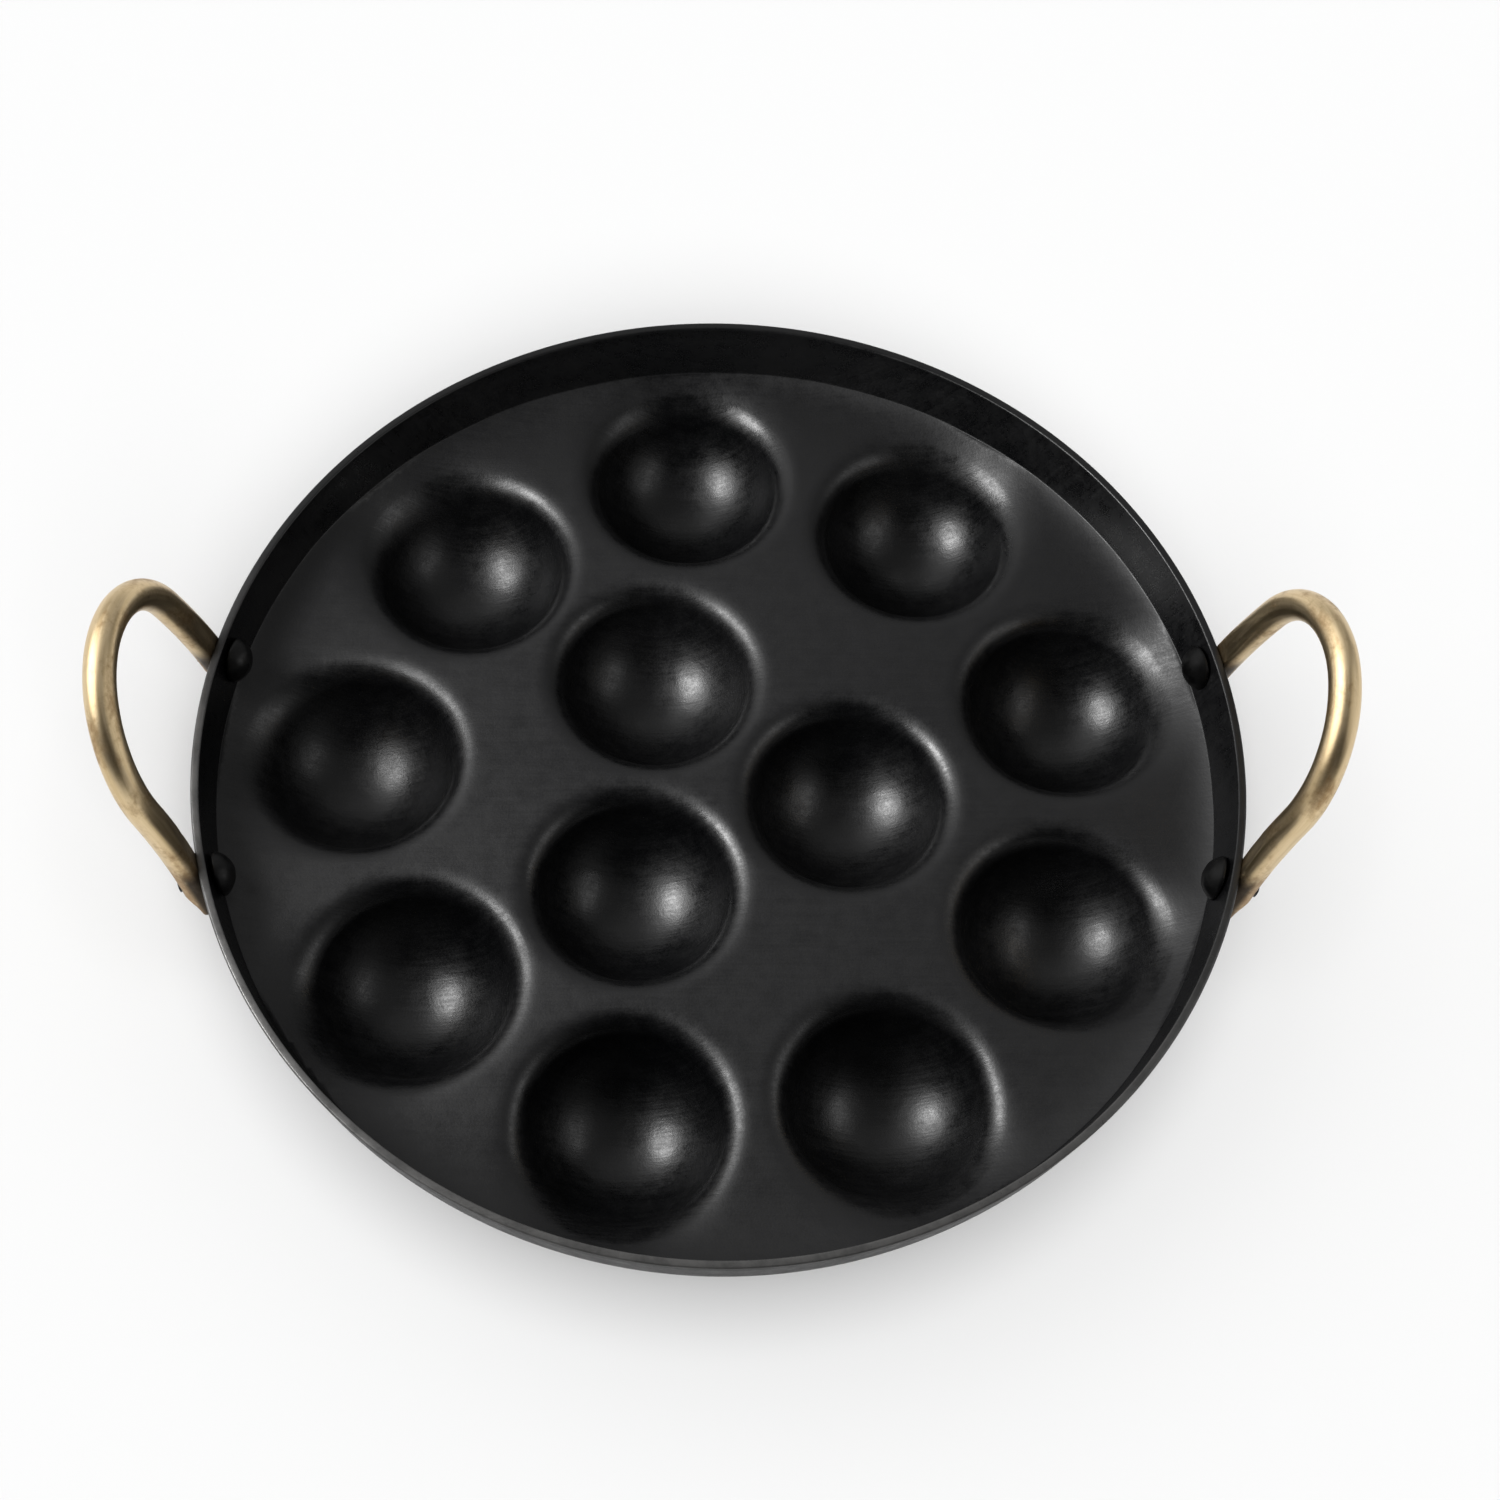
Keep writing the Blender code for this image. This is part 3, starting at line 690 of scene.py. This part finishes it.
def bar_line(name, place):
    """The centre line as a mesh of edges that knows the bar's thickness and its outward side."""
    base_x = bar_axis_radius * math.cos(rivet_azimuth)
    base_z = rivet_z - bar_axis_out * math.sin(WALL_FLARE)
    points, outward, thickness, flatness = [], [], [], []
    for y, height, share in bar_outline():
        out, up, lean = lean_offset(height)
        points.append(place @ Vector((base_x + out, y, base_z + up)))
        outward.append(place.to_3x3() @ Vector((math.cos(lean), 0.0, -math.sin(lean))))
        thickness.append(share)
        beaten = min(1.0, max(0.0, (-LEG_FLAT_START - height) / LEG_FLAT_RUN))
        flatness.append(LEG_FLATTENING * beaten * beaten * (3.0 - 2.0 * beaten))
    mesh = bpy.data.meshes.new(name)
    mesh.from_pydata(points, [(i, i + 1) for i in range(len(points) - 1)], [])
    mesh.attributes.new("outward", "FLOAT_VECTOR", "POINT").data.foreach_set(
        "vector", [v for p in outward for v in p])
    for label, values in (("thickness", thickness), ("flatness", flatness)):
        mesh.attributes.new(label, "FLOAT", "POINT").data.foreach_set("value", values)
    return new_object(name, mesh)


# %% Tree that sweeps the bar and seats its legs
BAR_SIDES = 40
UNEVENNESS = 0.10 * MM
SEAT_GAP = 0.03 * MM
bar_sizes = {"Bar radius": BAR_RADIUS, "Unevenness": UNEVENNESS, "Seed": 3.0,
             "Wall radius": wall_outside_radius(0.0) + SEAT_GAP, "Wall slope": math.tan(WALL_FLARE)}
sweep, given, result = new_tree("sweep_bar", bar_sizes)
line = output(sweep, "GeometryNodeMeshToCurve", {"Mesh": given["Geometry"]})
thick = maths(sweep, "MULTIPLY", named(sweep, "thickness", "FLOAT"), given["Bar radius"])
outward = named(sweep, "outward")
line = output(sweep, "GeometryNodeSetCurveNormal", {"Curve": line, "Normal": outward}, mode="FREE")
along = add(sweep, "GeometryNodeSplineParameter").outputs["Length"]
line = stored(sweep, line, "along", along, "FLOAT")
where = output(sweep, "GeometryNodeInputPosition")
line = stored(sweep, line, "middle", where)
section = output(sweep, "GeometryNodeCurvePrimitiveCircle", {"Resolution": BAR_SIDES, "Radius": 1.0})
section = stored(sweep, section, "around", where)
bar = output(sweep, "GeometryNodeCurveToMesh",
             {"Curve": line, "Profile Curve": section, "Scale": thick, "Fill Caps": True})

# The bar's own straight coordinates: across it in x and y, along it in z
across = scaled(sweep, named(sweep, "around"), given["Bar radius"])
straight = vectors(sweep, "ADD", across, combined(sweep, Z=named(sweep, "along", "FLOAT")))
bar = stored(sweep, bar, "straight", straight)

# Below its rivet each leg is beaten flatter on the side away from the wall
off = vectors(sweep, "SUBTRACT", where, named(sweep, "middle"))
proud = maths(sweep, "MAXIMUM", vectors(sweep, "DOT_PRODUCT", off, outward), 0.0)
beat = maths(sweep, "MULTIPLY", proud, maths(sweep, "MULTIPLY", named(sweep, "flatness", "FLOAT"), -1.0))
bar = moved(sweep, bar, scaled(sweep, outward, beat))

# A hand-bent bar is a little uneven, and nowhere thicker than the drawn bar
bumps = output(sweep, "ShaderNodeTexNoise", {"Vector": where, "W": given["Seed"], "Scale": 90.0, "Detail": 1.0},
               noise_dimensions="4D")
bumps = maths(sweep, "MULTIPLY", maths(sweep, "SUBTRACT", bumps, 1.3), given["Unevenness"])
bar = moved(sweep, bar, scaled(sweep, output(sweep, "GeometryNodeInputNormal"), bumps))

# Where the bar would enter the wall, it is pressed flat on it
xyz, flat = split(sweep, where)
wall = maths(sweep, "MULTIPLY_ADD", xyz["Z"], given["Wall slope"], given["Wall radius"])
inside = maths(sweep, "MAXIMUM", maths(sweep, "SUBTRACT", wall, vectors(sweep, "LENGTH", flat)), 0.0)
bar = moved(sweep, bar, scaled(sweep, vectors(sweep, "NORMALIZE", flat), inside))
sweep.links.new(chain(sweep, bar, *FINISH), result["Geometry"])

handles = {}
for name, turn, seed in (("handle_right", RIGHT_TURN, 3.0), ("handle_left", LEFT_TURN, 8.0)):
    place = Matrix.Rotation(turn, 4, "Z")
    handles[name] = run_tree(bar_line(name + "_fine", place), sweep, {**bar_sizes, "Seed": seed})
    face_outwards(handles[name])

# %% [markdown]
# ## The rivets
#
# A rivet goes in from inside the pan, and its tail is hammered out over the handle's leg. The head
# is a low dome with a short straight edge, and the hammer leaves faint facets on it. It sits a
# little further in than the solid's, because the wall is thicker at its foot. The tail is a small
# low button on the bar. Each rivet is turned round its own axis, roughened a little, and then laid
# on the wall by a tree whose inputs are the turn round the pan and the height.

# %% Sizes of the rivets
RIVET_HEAD_RADIUS = 5.4 * MM
RIVET_HEAD_HEIGHT = 4.0 * MM
RIVET_HEAD_EDGE = 0.6 * MM
RIVET_SHANK_RADIUS = 2.0 * MM
RIVET_TAIL_RADIUS = 1.8 * MM
RIVET_TAIL_PROUD = 0.30 * MM
RIVET_TAIL_DOME = 0.35 * MM
RIVET_CONE_START = 1.2 * MM
RIVET_CONE_END = 2.0 * MM
RIVET_HEAD_BREAK = 0.15 * MM
RIVET_SIDES, HEAD_STEPS, TAIL_STEPS = 48, 14, 8
WALL_EXTRA = 0.8 * MM
head_curve_depth = RIVET_HEAD_RADIUS ** 2 / (2 * floor_radius)
bar_far_out = bar_axis_out + BAR_RADIUS


def rivet_skin(name):
    """A rivet along Z, with its head down at the inside of the wall and its tail up on the bar."""
    seat = -(SHEET + head_curve_depth + WALL_EXTRA)
    dome_height = RIVET_HEAD_HEIGHT - RIVET_HEAD_EDGE
    sphere = (RIVET_HEAD_RADIUS ** 2 + dome_height ** 2) / (2 * dome_height)
    dome_start = seat - RIVET_HEAD_EDGE
    centre = (0.0, dome_start - dome_height + sphere)
    dome = arc(centre, sphere, -math.acos(RIVET_HEAD_RADIUS / sphere), -math.pi / 2, HEAD_STEPS)
    dome[-1] = (0.0, dome[-1][1])
    edge = [(RIVET_HEAD_RADIUS - RIVET_HEAD_BREAK, seat), (RIVET_HEAD_RADIUS, seat - RIVET_HEAD_BREAK)]
    tail_sphere = (RIVET_TAIL_RADIUS ** 2 + RIVET_TAIL_DOME ** 2) / (2 * RIVET_TAIL_DOME)
    tail_centre = (0.0, bar_far_out + RIVET_TAIL_PROUD - tail_sphere)
    tail = arc(tail_centre, tail_sphere, math.pi / 2, math.acos(RIVET_TAIL_RADIUS / tail_sphere), TAIL_STEPS)
    tail[0] = (0.0, tail[0][1])
    shank = [(RIVET_TAIL_RADIUS, bar_far_out - RIVET_CONE_START),
             (RIVET_SHANK_RADIUS, bar_far_out - RIVET_CONE_END), (RIVET_SHANK_RADIUS, seat)]
    skin = bmesh.new()
    turn_round(skin, tail + shank + edge + dome, RIVET_SIDES)
    return mesh_object(name, skin)


# %% Tree that hammers a rivet and lays it on the wall
rivet_sizes = {"Seed": 1.0, "Hammering": 0.34 * MM, "Turn": 0.0, "Lean": WALL_FLARE,
               "Wall radius": wall_outside_radius(rivet_z), "Height": rivet_z}
lay, given, result = new_tree("lay_rivet", rivet_sizes)
marks = output(lay, "ShaderNodeTexVoronoi", {"Vector": output(lay, "GeometryNodeInputPosition"),
                                             "W": given["Seed"], "Scale": 330.0, "Smoothness": 0.45},
               voronoi_dimensions="4D", feature="SMOOTH_F1")
depth = maths(lay, "MULTIPLY", maths(lay, "SUBTRACT", marks, 0.55), given["Hammering"])
rivet = moved(lay, given["Geometry"], scaled(lay, output(lay, "GeometryNodeInputNormal"), depth))
tip = combined(lay, Y=maths(lay, "ADD", given["Lean"], math.pi / 2))
rivet = laid(lay, rivet, tip, combined(lay, X=given["Wall radius"], Z=given["Height"]))
rivet = laid(lay, rivet, combined(lay, Z=given["Turn"]))
lay.links.new(chain(lay, rivet, *FINISH), result["Geometry"])

rivets = {}
for seed, (name, side, turn) in enumerate((
        ("rivet_right_back", 1, RIGHT_TURN), ("rivet_right_front", -1, RIGHT_TURN),
        ("rivet_left_front", 1, LEFT_TURN), ("rivet_left_back", -1, LEFT_TURN))):
    sizes = {**rivet_sizes, "Seed": 2.0 + seed, "Turn": turn + side * rivet_azimuth}
    rivets[name] = run_tree(rivet_skin(name + "_fine"), lay, sizes)
    face_outwards(rivets[name])

# %% [markdown]
# ## Seasoned iron
#
# The pan is iron that has been oiled and baked until it is black. That skin is a thin hard film,
# so it reflects like a dark varnish and hardly scatters any light: nearly all that the photograph
# shows on it is soft reflection. The material is therefore almost black, with a broad, slightly
# uneven sheen. Fine grain from the rolled sheet and a soft mottling from the oil break it up.
#
# Use has changed it in places. The plate's top is scoured, so it is a little paler and duller than
# the pits, and the wall's outside, which is never oiled, is duller still. The cut rim is worn grey,
# and that grey is strongest at the front and left as painted light; the bowls' bottoms are worn grey
# too. These places are found from the height, the side and the distance to the axis, with noise to
# break their edges.

# %% Helpers for materials
def new_material(name):
    """A material with its Principled shader."""
    made = bpy.data.materials.new(name)
    made.use_nodes = True
    return made, made.node_tree, made.node_tree.nodes["Principled BSDF"]


def paint(pieces, material):
    """Gives these pieces one material, in place of what the trees left on them."""
    for piece in pieces:
        piece.data.materials.clear()
        piece.data.materials.append(material)
    print(material.name, "has", len(material.node_tree.nodes), "nodes")


def grain(tree, where, scale, detail=3.0, rough=0.5, stretch=None):
    """Noise between 0 and 1, with its scale in waves a metre, stretched if asked."""
    if stretch:
        where = output(tree, "ShaderNodeMapping", {"Vector": where, "Scale": stretch})
    return output(tree, "ShaderNodeTexNoise",
                  {"Vector": where, "Scale": scale, "Detail": detail, "Roughness": rough})


def product(tree, first, *others):
    """All the values multiplied."""
    for value in others:
        first = maths(tree, "MULTIPLY", first, value)
    return first


def total(tree, first, *others):
    """All the values added."""
    for value in others:
        first = maths(tree, "ADD", first, value)
    return first


def beyond_wall(tree, xyz, flat, radius):
    """How far out a point is of a cone as steep as the wall, with this radius at the pan's feet."""
    cone = maths(tree, "MULTIPLY_ADD", xyz["Z"], math.tan(WALL_FLARE), radius)
    return maths(tree, "SUBTRACT", vectors(tree, "LENGTH", flat), cone)


def blend(tree, share, first, second):
    """A colour between two, by a share."""
    made = tree.nodes.new("ShaderNodeMix")
    made.data_type = "RGBA"
    # Sockets of one name exist for each data type, so the colour ones are found by type
    colours = [s for s in made.inputs if s.type == "RGBA"]
    fill(tree, made.inputs["Factor"], share)
    for socket, value in zip(colours, (first, second)):
        fill(tree, socket, value if isinstance(value, bpy.types.NodeSocket) else (*value, 1.0))
    return next(s for s in made.outputs if s.type == "RGBA")


def emboss(tree, shader, layers):
    """Bump made of several heights in metres, each with its noise."""
    height = 0.0
    for noise_value, layer in layers:
        height = maths(tree, "MULTIPLY_ADD", noise_value, layer, height)
    fill(tree, shader.inputs["Normal"],
         output(tree, "ShaderNodeBump", {"Height": height, "Distance": 1.0, "Strength": 1.0}))


# %% Seasoned iron
DARK_OIL, PALE_OIL = (0.0006, 0.0007, 0.0010), (0.0016, 0.0016, 0.0019)
# The second colour is pale iron: real wear on the rim and the bowls' feet, and painted light on the rim's front
# and left
SCOURED_IRON, WORN_AND_LIT_IRON = (0.0016, 0.0016, 0.0021), (0.17, 0.167, 0.163)
IRON_ROUGHNESS, SCOURED_EXTRA = 0.36, 0.12
INSIDE_EXTRA, OUTSIDE_EXTRA = -0.04, 0.22
# Side of the rim where its grey is strongest, laid on as painted light
RIM_PAINTED_LIGHT_TOWARDS = (-0.34, -0.94, 0.0)
iron, tree, shader = new_material("seasoned_iron")
place = add(tree, "ShaderNodeTexCoord").outputs["Object"]
xyz, flat = split(tree, place)
height = xyz["Z"]
clouds = grain(tree, place, 26.0, 4.0, 0.55)
mottle = grain(tree, place, 260.0, 3.0, 0.6)
fine = grain(tree, place, 1900.0, 2.0, 0.6)
streaks = grain(tree, place, 60.0, 3.0, 0.6, (1.0, 22.0, 1.0))

# Bare metal worn on the rim and under the bowls; on the rim it is strongest at the front and left, as painted
# light
painted_light_side = vectors(tree, "DOT_PRODUCT", place, RIM_PAINTED_LIGHT_TOWARDS)
rim_wear_and_light = product(tree, ramp(tree, height, rim_z - 0.6 * MM, rim_z - 0.1 * MM),
                   ramp(tree, painted_light_side, -30 * MM, 110 * MM),
                   ramp(tree, grain(tree, place, 140.0, 4.0, 0.7), 0.3, 0.65, 0.4, 0.8))
foot_wear = product(tree, ramp(tree, height, 1.2 * MM, 0.1 * MM), ramp(tree, mottle, 0.35, 0.6))
wear_and_light = maths(tree, "MAXIMUM", rim_wear_and_light, foot_wear)

# The plate's top with its turned-up edge, and above it the wall's two faces
scoured = product(tree, ramp(tree, height, plate_z - 1.3 * MM, plate_z - 0.2 * MM),
                  ramp(tree, height, plate_z + 3.6 * MM, plate_z + 3.0 * MM),
                  ramp(tree, clouds, 0.3, 0.7, 0.75, 1.0))
wall_face = product(tree, ramp(tree, height, plate_z + 3.0 * MM, plate_z + 3.6 * MM),
                    ramp(tree, height, rim_z - 0.4 * MM, rim_z - 0.8 * MM))
wall_middle = wall_inside_radius(0.0) + wall_across / 2
outside = maths(tree, "GREATER_THAN", beyond_wall(tree, xyz, flat, wall_middle), 0.0)
wall_extra = maths(tree, "MULTIPLY_ADD", outside, OUTSIDE_EXTRA - INSIDE_EXTRA, INSIDE_EXTRA)

oil = blend(tree, ramp(tree, clouds, 0.35, 0.65), DARK_OIL, PALE_OIL)
oil = blend(tree, scoured, oil, SCOURED_IRON)
fill(tree, shader.inputs["Base Color"], blend(tree, wear_and_light, oil, WORN_AND_LIT_IRON))
fill(tree, shader.inputs["Metallic"], maths(tree, "MULTIPLY", wear_and_light, 0.8))
sheen = total(tree, ramp(tree, clouds, 0.3, 0.7, -0.03, 0.03), ramp(tree, mottle, 0.3, 0.7, -0.04, 0.05),
              ramp(tree, streaks, 0.3, 0.7, -0.03, 0.03), ramp(tree, fine, 0.3, 0.7, -0.04, 0.04),
              product(tree, scoured, SCOURED_EXTRA), product(tree, wall_face, wall_extra))
fill(tree, shader.inputs["Roughness"], maths(tree, "ADD", sheen, IRON_ROUGHNESS, clamp=True))
emboss(tree, shader, ((fine, 0.024 * MM), (mottle, 0.06 * MM), (clouds, 0.20 * MM), (streaks, 0.03 * MM)))
paint([pan_body], iron)

# %% [markdown]
# ## Rivet iron
#
# The rivets are the same blackened iron, but they were hammered hot, so a scaly skin covers them.
# It is a touch paler than the oiled sheet and reflects less.

# %% Rivet iron
DARK_SCALE, PALE_SCALE = (0.0015, 0.0016, 0.0018), (0.0035, 0.0034, 0.0034)
rivet_iron, tree, shader = new_material("rivet_iron")
place = add(tree, "ShaderNodeTexCoord").outputs["Object"]
mottle = grain(tree, place, 420.0, 3.0, 0.6)
fine = grain(tree, place, 2400.0, 2.0, 0.6)
flakes = output(tree, "ShaderNodeTexVoronoi", {"Vector": place, "Scale": 700.0, "Randomness": 1.0})
fill(tree, shader.inputs["Base Color"], blend(tree, ramp(tree, mottle, 0.35, 0.65), DARK_SCALE, PALE_SCALE))
fill(tree, shader.inputs["Roughness"], ramp(tree, mottle, 0.3, 0.7, 0.36, 0.50))
shader.inputs["Specular IOR Level"].default_value = 0.30
emboss(tree, shader, ((fine, 0.006 * MM), (mottle, 0.03 * MM), (flakes, 0.03 * MM)))
paint(rivets.values(), rivet_iron)

# %% [markdown]
# ## Aged brass
#
# The handles were polished once, along the bar, and have since dulled. Clean brass is a bright
# yellow mirror, and the tarnish is a thin brown film that lies in patches with freckled edges and is
# rougher than the metal; the brass is also browner lower down the bar. In the corner between leg and
# wall the brass is painted near black, as painted shade where the wall shadows the leg. The pattern
# is read from the bar's own straight coordinates, so the polishing lines follow the bend, and the
# patches don't stretch.

# %% Aged brass
DEEP_BRASS, PALE_BRASS = (0.62, 0.47, 0.265), (0.74, 0.585, 0.36)
# The second colour is near-black brown, painted shade for the legs where they lie beside the wall
TARNISH, PAINTED_SHADE = (0.36, 0.235, 0.115), (0.02, 0.014, 0.009)
# The patches start this far along the noise, which puts them where the photograph has them
PATCH_START = 140 * MM
brass, tree, shader = new_material("aged_brass")
straight = add(tree, "ShaderNodeAttribute", attribute_name="straight").outputs["Vector"]
shifted = vectors(tree, "ADD", straight, (0.0, 0.0, PATCH_START))
lines = grain(tree, straight, 900.0, 3.0, 0.6, (1.0, 1.0, 0.05))
patches = grain(tree, shifted, 150.0, 4.0, 0.62, (1.0, 1.0, 0.45))
specks = grain(tree, straight, 1300.0, 2.0, 0.6)
freckles = grain(tree, straight, 620.0, 3.0, 0.65)
xyz, flat = split(tree, add(tree, "ShaderNodeTexCoord").outputs["Object"])
# The brass gets browner lower down the bar, towards the wall
foot = ramp(tree, xyz["Z"], rim_z + 6.0 * MM, rim_z - 6.0 * MM, -0.18, 0.04)
film = total(tree, patches, product(tree, freckles, 0.36), foot)
tarnish = ramp(tree, film, 0.44, 0.74)
from_wall = beyond_wall(tree, xyz, flat, wall_outside_radius(0.0))
# Painted shade: near black within a few mm of the wall, fading out above the rim
painted_shade = product(tree, ramp(tree, from_wall, 5.2 * MM, 3.0 * MM),
               ramp(tree, xyz["Z"], rim_z + 5.0 * MM, rim_z - 3.0 * MM, 0.0, 0.95))
metal = blend(tree, ramp(tree, lines, 0.3, 0.7), DEEP_BRASS, PALE_BRASS)
metal = blend(tree, tarnish, metal, TARNISH)
fill(tree, shader.inputs["Base Color"], blend(tree, painted_shade, metal, PAINTED_SHADE))
shader.inputs["Metallic"].default_value = 1.0
polish = total(tree, ramp(tree, lines, 0.3, 0.7, 0.31, 0.38), ramp(tree, tarnish, 0.0, 1.0, 0.0, 0.12))
fill(tree, shader.inputs["Roughness"], polish)
emboss(tree, shader, ((lines, 0.020 * MM), (specks, 0.014 * MM), (freckles, 0.022 * MM), (patches, 0.05 * MM)))
paint(handles.values(), brass)

# %% [markdown]
# ## Riding on the frame
#
# Nothing on this pan moves, so every piece rides on the one body. Each fine piece stands for its
# CAD solid, which stays hidden for the physics.

# %% Put the pieces on the frame
for slot, pieces in (("seasoned_iron", {"pan_body": pan_body}), ("aged_brass", handles), ("rivet_iron", rivets)):
    for node, piece in pieces.items():
        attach(piece, "root")
        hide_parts(node)
    print(len(pieces), "of", slot, "on root")

# %% [markdown]
# ## Floor and light
#
# The photograph has a plain white floor that never shows its end, with a soft shadow close under
# the pan. On such dark iron the lights matter more than the colour, because nearly all that shows
# is reflection. The bright spots lie in another place in every pit, so the soft box that makes them
# stands close by on the left, aimed across the pan, and a weaker one on the right. Very wide suns
# light the handles from three sides, and two more light the floor. Light linking keeps each lamp
# to its own pieces. The world adds broad soft glows behind and beside them.

# %% Floor
FLOOR_HALF = 6.0
PAPER = (0.72, 0.72, 0.72, 1.0)
floor_mesh = bpy.data.meshes.new("floor")
corners = [(x * FLOOR_HALF, y * FLOOR_HALF, 0.0) for x, y in ((-1, -1), (1, -1), (1, 1), (-1, 1))]
floor_mesh.from_pydata(corners, [], [(0, 1, 2, 3)])
floor = new_object("floor", floor_mesh)
paper, tree, shader = new_material("white_paper")
for socket, value in (("Base Color", PAPER), ("Roughness", 0.9), ("Specular IOR Level", 0.1)):
    shader.inputs[socket].default_value = value
floor_mesh.materials.append(paper)


# %% Lamps
def new_lamp(name, kind, towards, strength, pieces):
    """A lamp that shines from the direction given, on these pieces and nothing else."""
    lamp = new_object(name, bpy.data.lights.new(name, kind))
    lamp.data.energy = strength
    lamp.rotation_euler = Vector(towards).to_track_quat("Z", "Y").to_euler()
    lit = bpy.data.collections.new("lit_by_" + name)
    for piece in pieces:
        lit.objects.link(piece)
    lamp.light_linking.receiver_collection = lit
    return lamp


def far_lamp(name, towards, strength, width, pieces):
    """A sun lamp that looks `width` degrees wide."""
    new_lamp(name, "SUN", towards, strength, pieces).data.angle = math.radians(width)


def near_lamp(name, place, aim, strength, size, spread, pieces):
    """A soft box over the plate, aimed at a point of it; all in mm, and turned as the camera is."""
    turned = Matrix.Rotation(-PAN_TURN, 3, "Z")
    lamp = new_lamp(name, "AREA", turned @ (Vector(place) - Vector(aim)), strength, pieces)
    lamp.location = turned @ Vector(place) * MM + Vector((0.0, 0.0, plate_z))
    lamp.visible_camera = False
    lamp.data.shape = "ELLIPSE"
    lamp.data.size, lamp.data.size_y = size[0] * MM, size[1] * MM
    lamp.data.spread = math.radians(spread)


near_lamp("left_box", (-217, -20, 184), (130, 38, 0), 0.385, (190, 108), 92, [pan_body])
near_lamp("right_box", (250, -22, 150), (0, 0, 0), 0.11, (230, 115), 180, [pan_body, *rivets.values()])
far_lamp("left_over_handles", (-0.726, 0.07, 0.683), 1.8, 60.0, handles.values())
far_lamp("back_over_handles", (-0.45, 0.55, 0.70), 0.6, 60.0, handles.values())
far_lamp("right_over_handles", (0.851, -0.058, 0.506), 0.35, 60.0, handles.values())
far_lamp("table_light", (0.0, -0.10, 1.0), 1.62, 44.0, [floor])
far_lamp("table_front", (0.05, -0.62, 0.78), 2.05, 40.0, [floor])

# %% World
WORLD_BASE = 0.22
world = bpy.data.worlds.new("studio")
bpy.context.scene.world = world
world.use_nodes = True
tree = world.node_tree
tree.nodes.clear()
facing = add(tree, "ShaderNodeTexCoord").outputs["Generated"]


def glow(towards, inner, outer, strength):
    """Soft brightness round a direction, full within `inner` degrees and gone at `outer`."""
    dot = vectors(tree, "DOT_PRODUCT", facing, tuple(Vector(towards).normalized()))
    return ramp(tree, dot, math.cos(math.radians(outer)), math.cos(math.radians(inner)), 0.0, strength)


# Glows at the left, the back and the right, a dark patch in front, and the pale table's far end
horizon = ramp(tree, split(tree, facing)[0]["Z"], 0.16, 0.02, 0.0, 0.5)
light = total(tree, WORLD_BASE, glow((-0.73, 0.35, 0.59), 8.0, 42.0, 0.74),
              glow((0.05, 0.78, 0.62), 20.0, 42.0, 0.25), glow((0.90, -0.08, 0.42), 10.0, 38.0, 0.10),
              glow((0.0, -0.90, 0.42), 15.0, 58.0, -0.20), horizon)
white = {"Color": (1.0, 1.0, 1.0, 1.0), "Strength": maths(tree, "MAXIMUM", light, 0.0)}
add(tree, "ShaderNodeOutputWorld", {"Surface": output(tree, "ShaderNodeBackground", white)})
bpy.context.scene.view_settings.view_transform = "Standard"
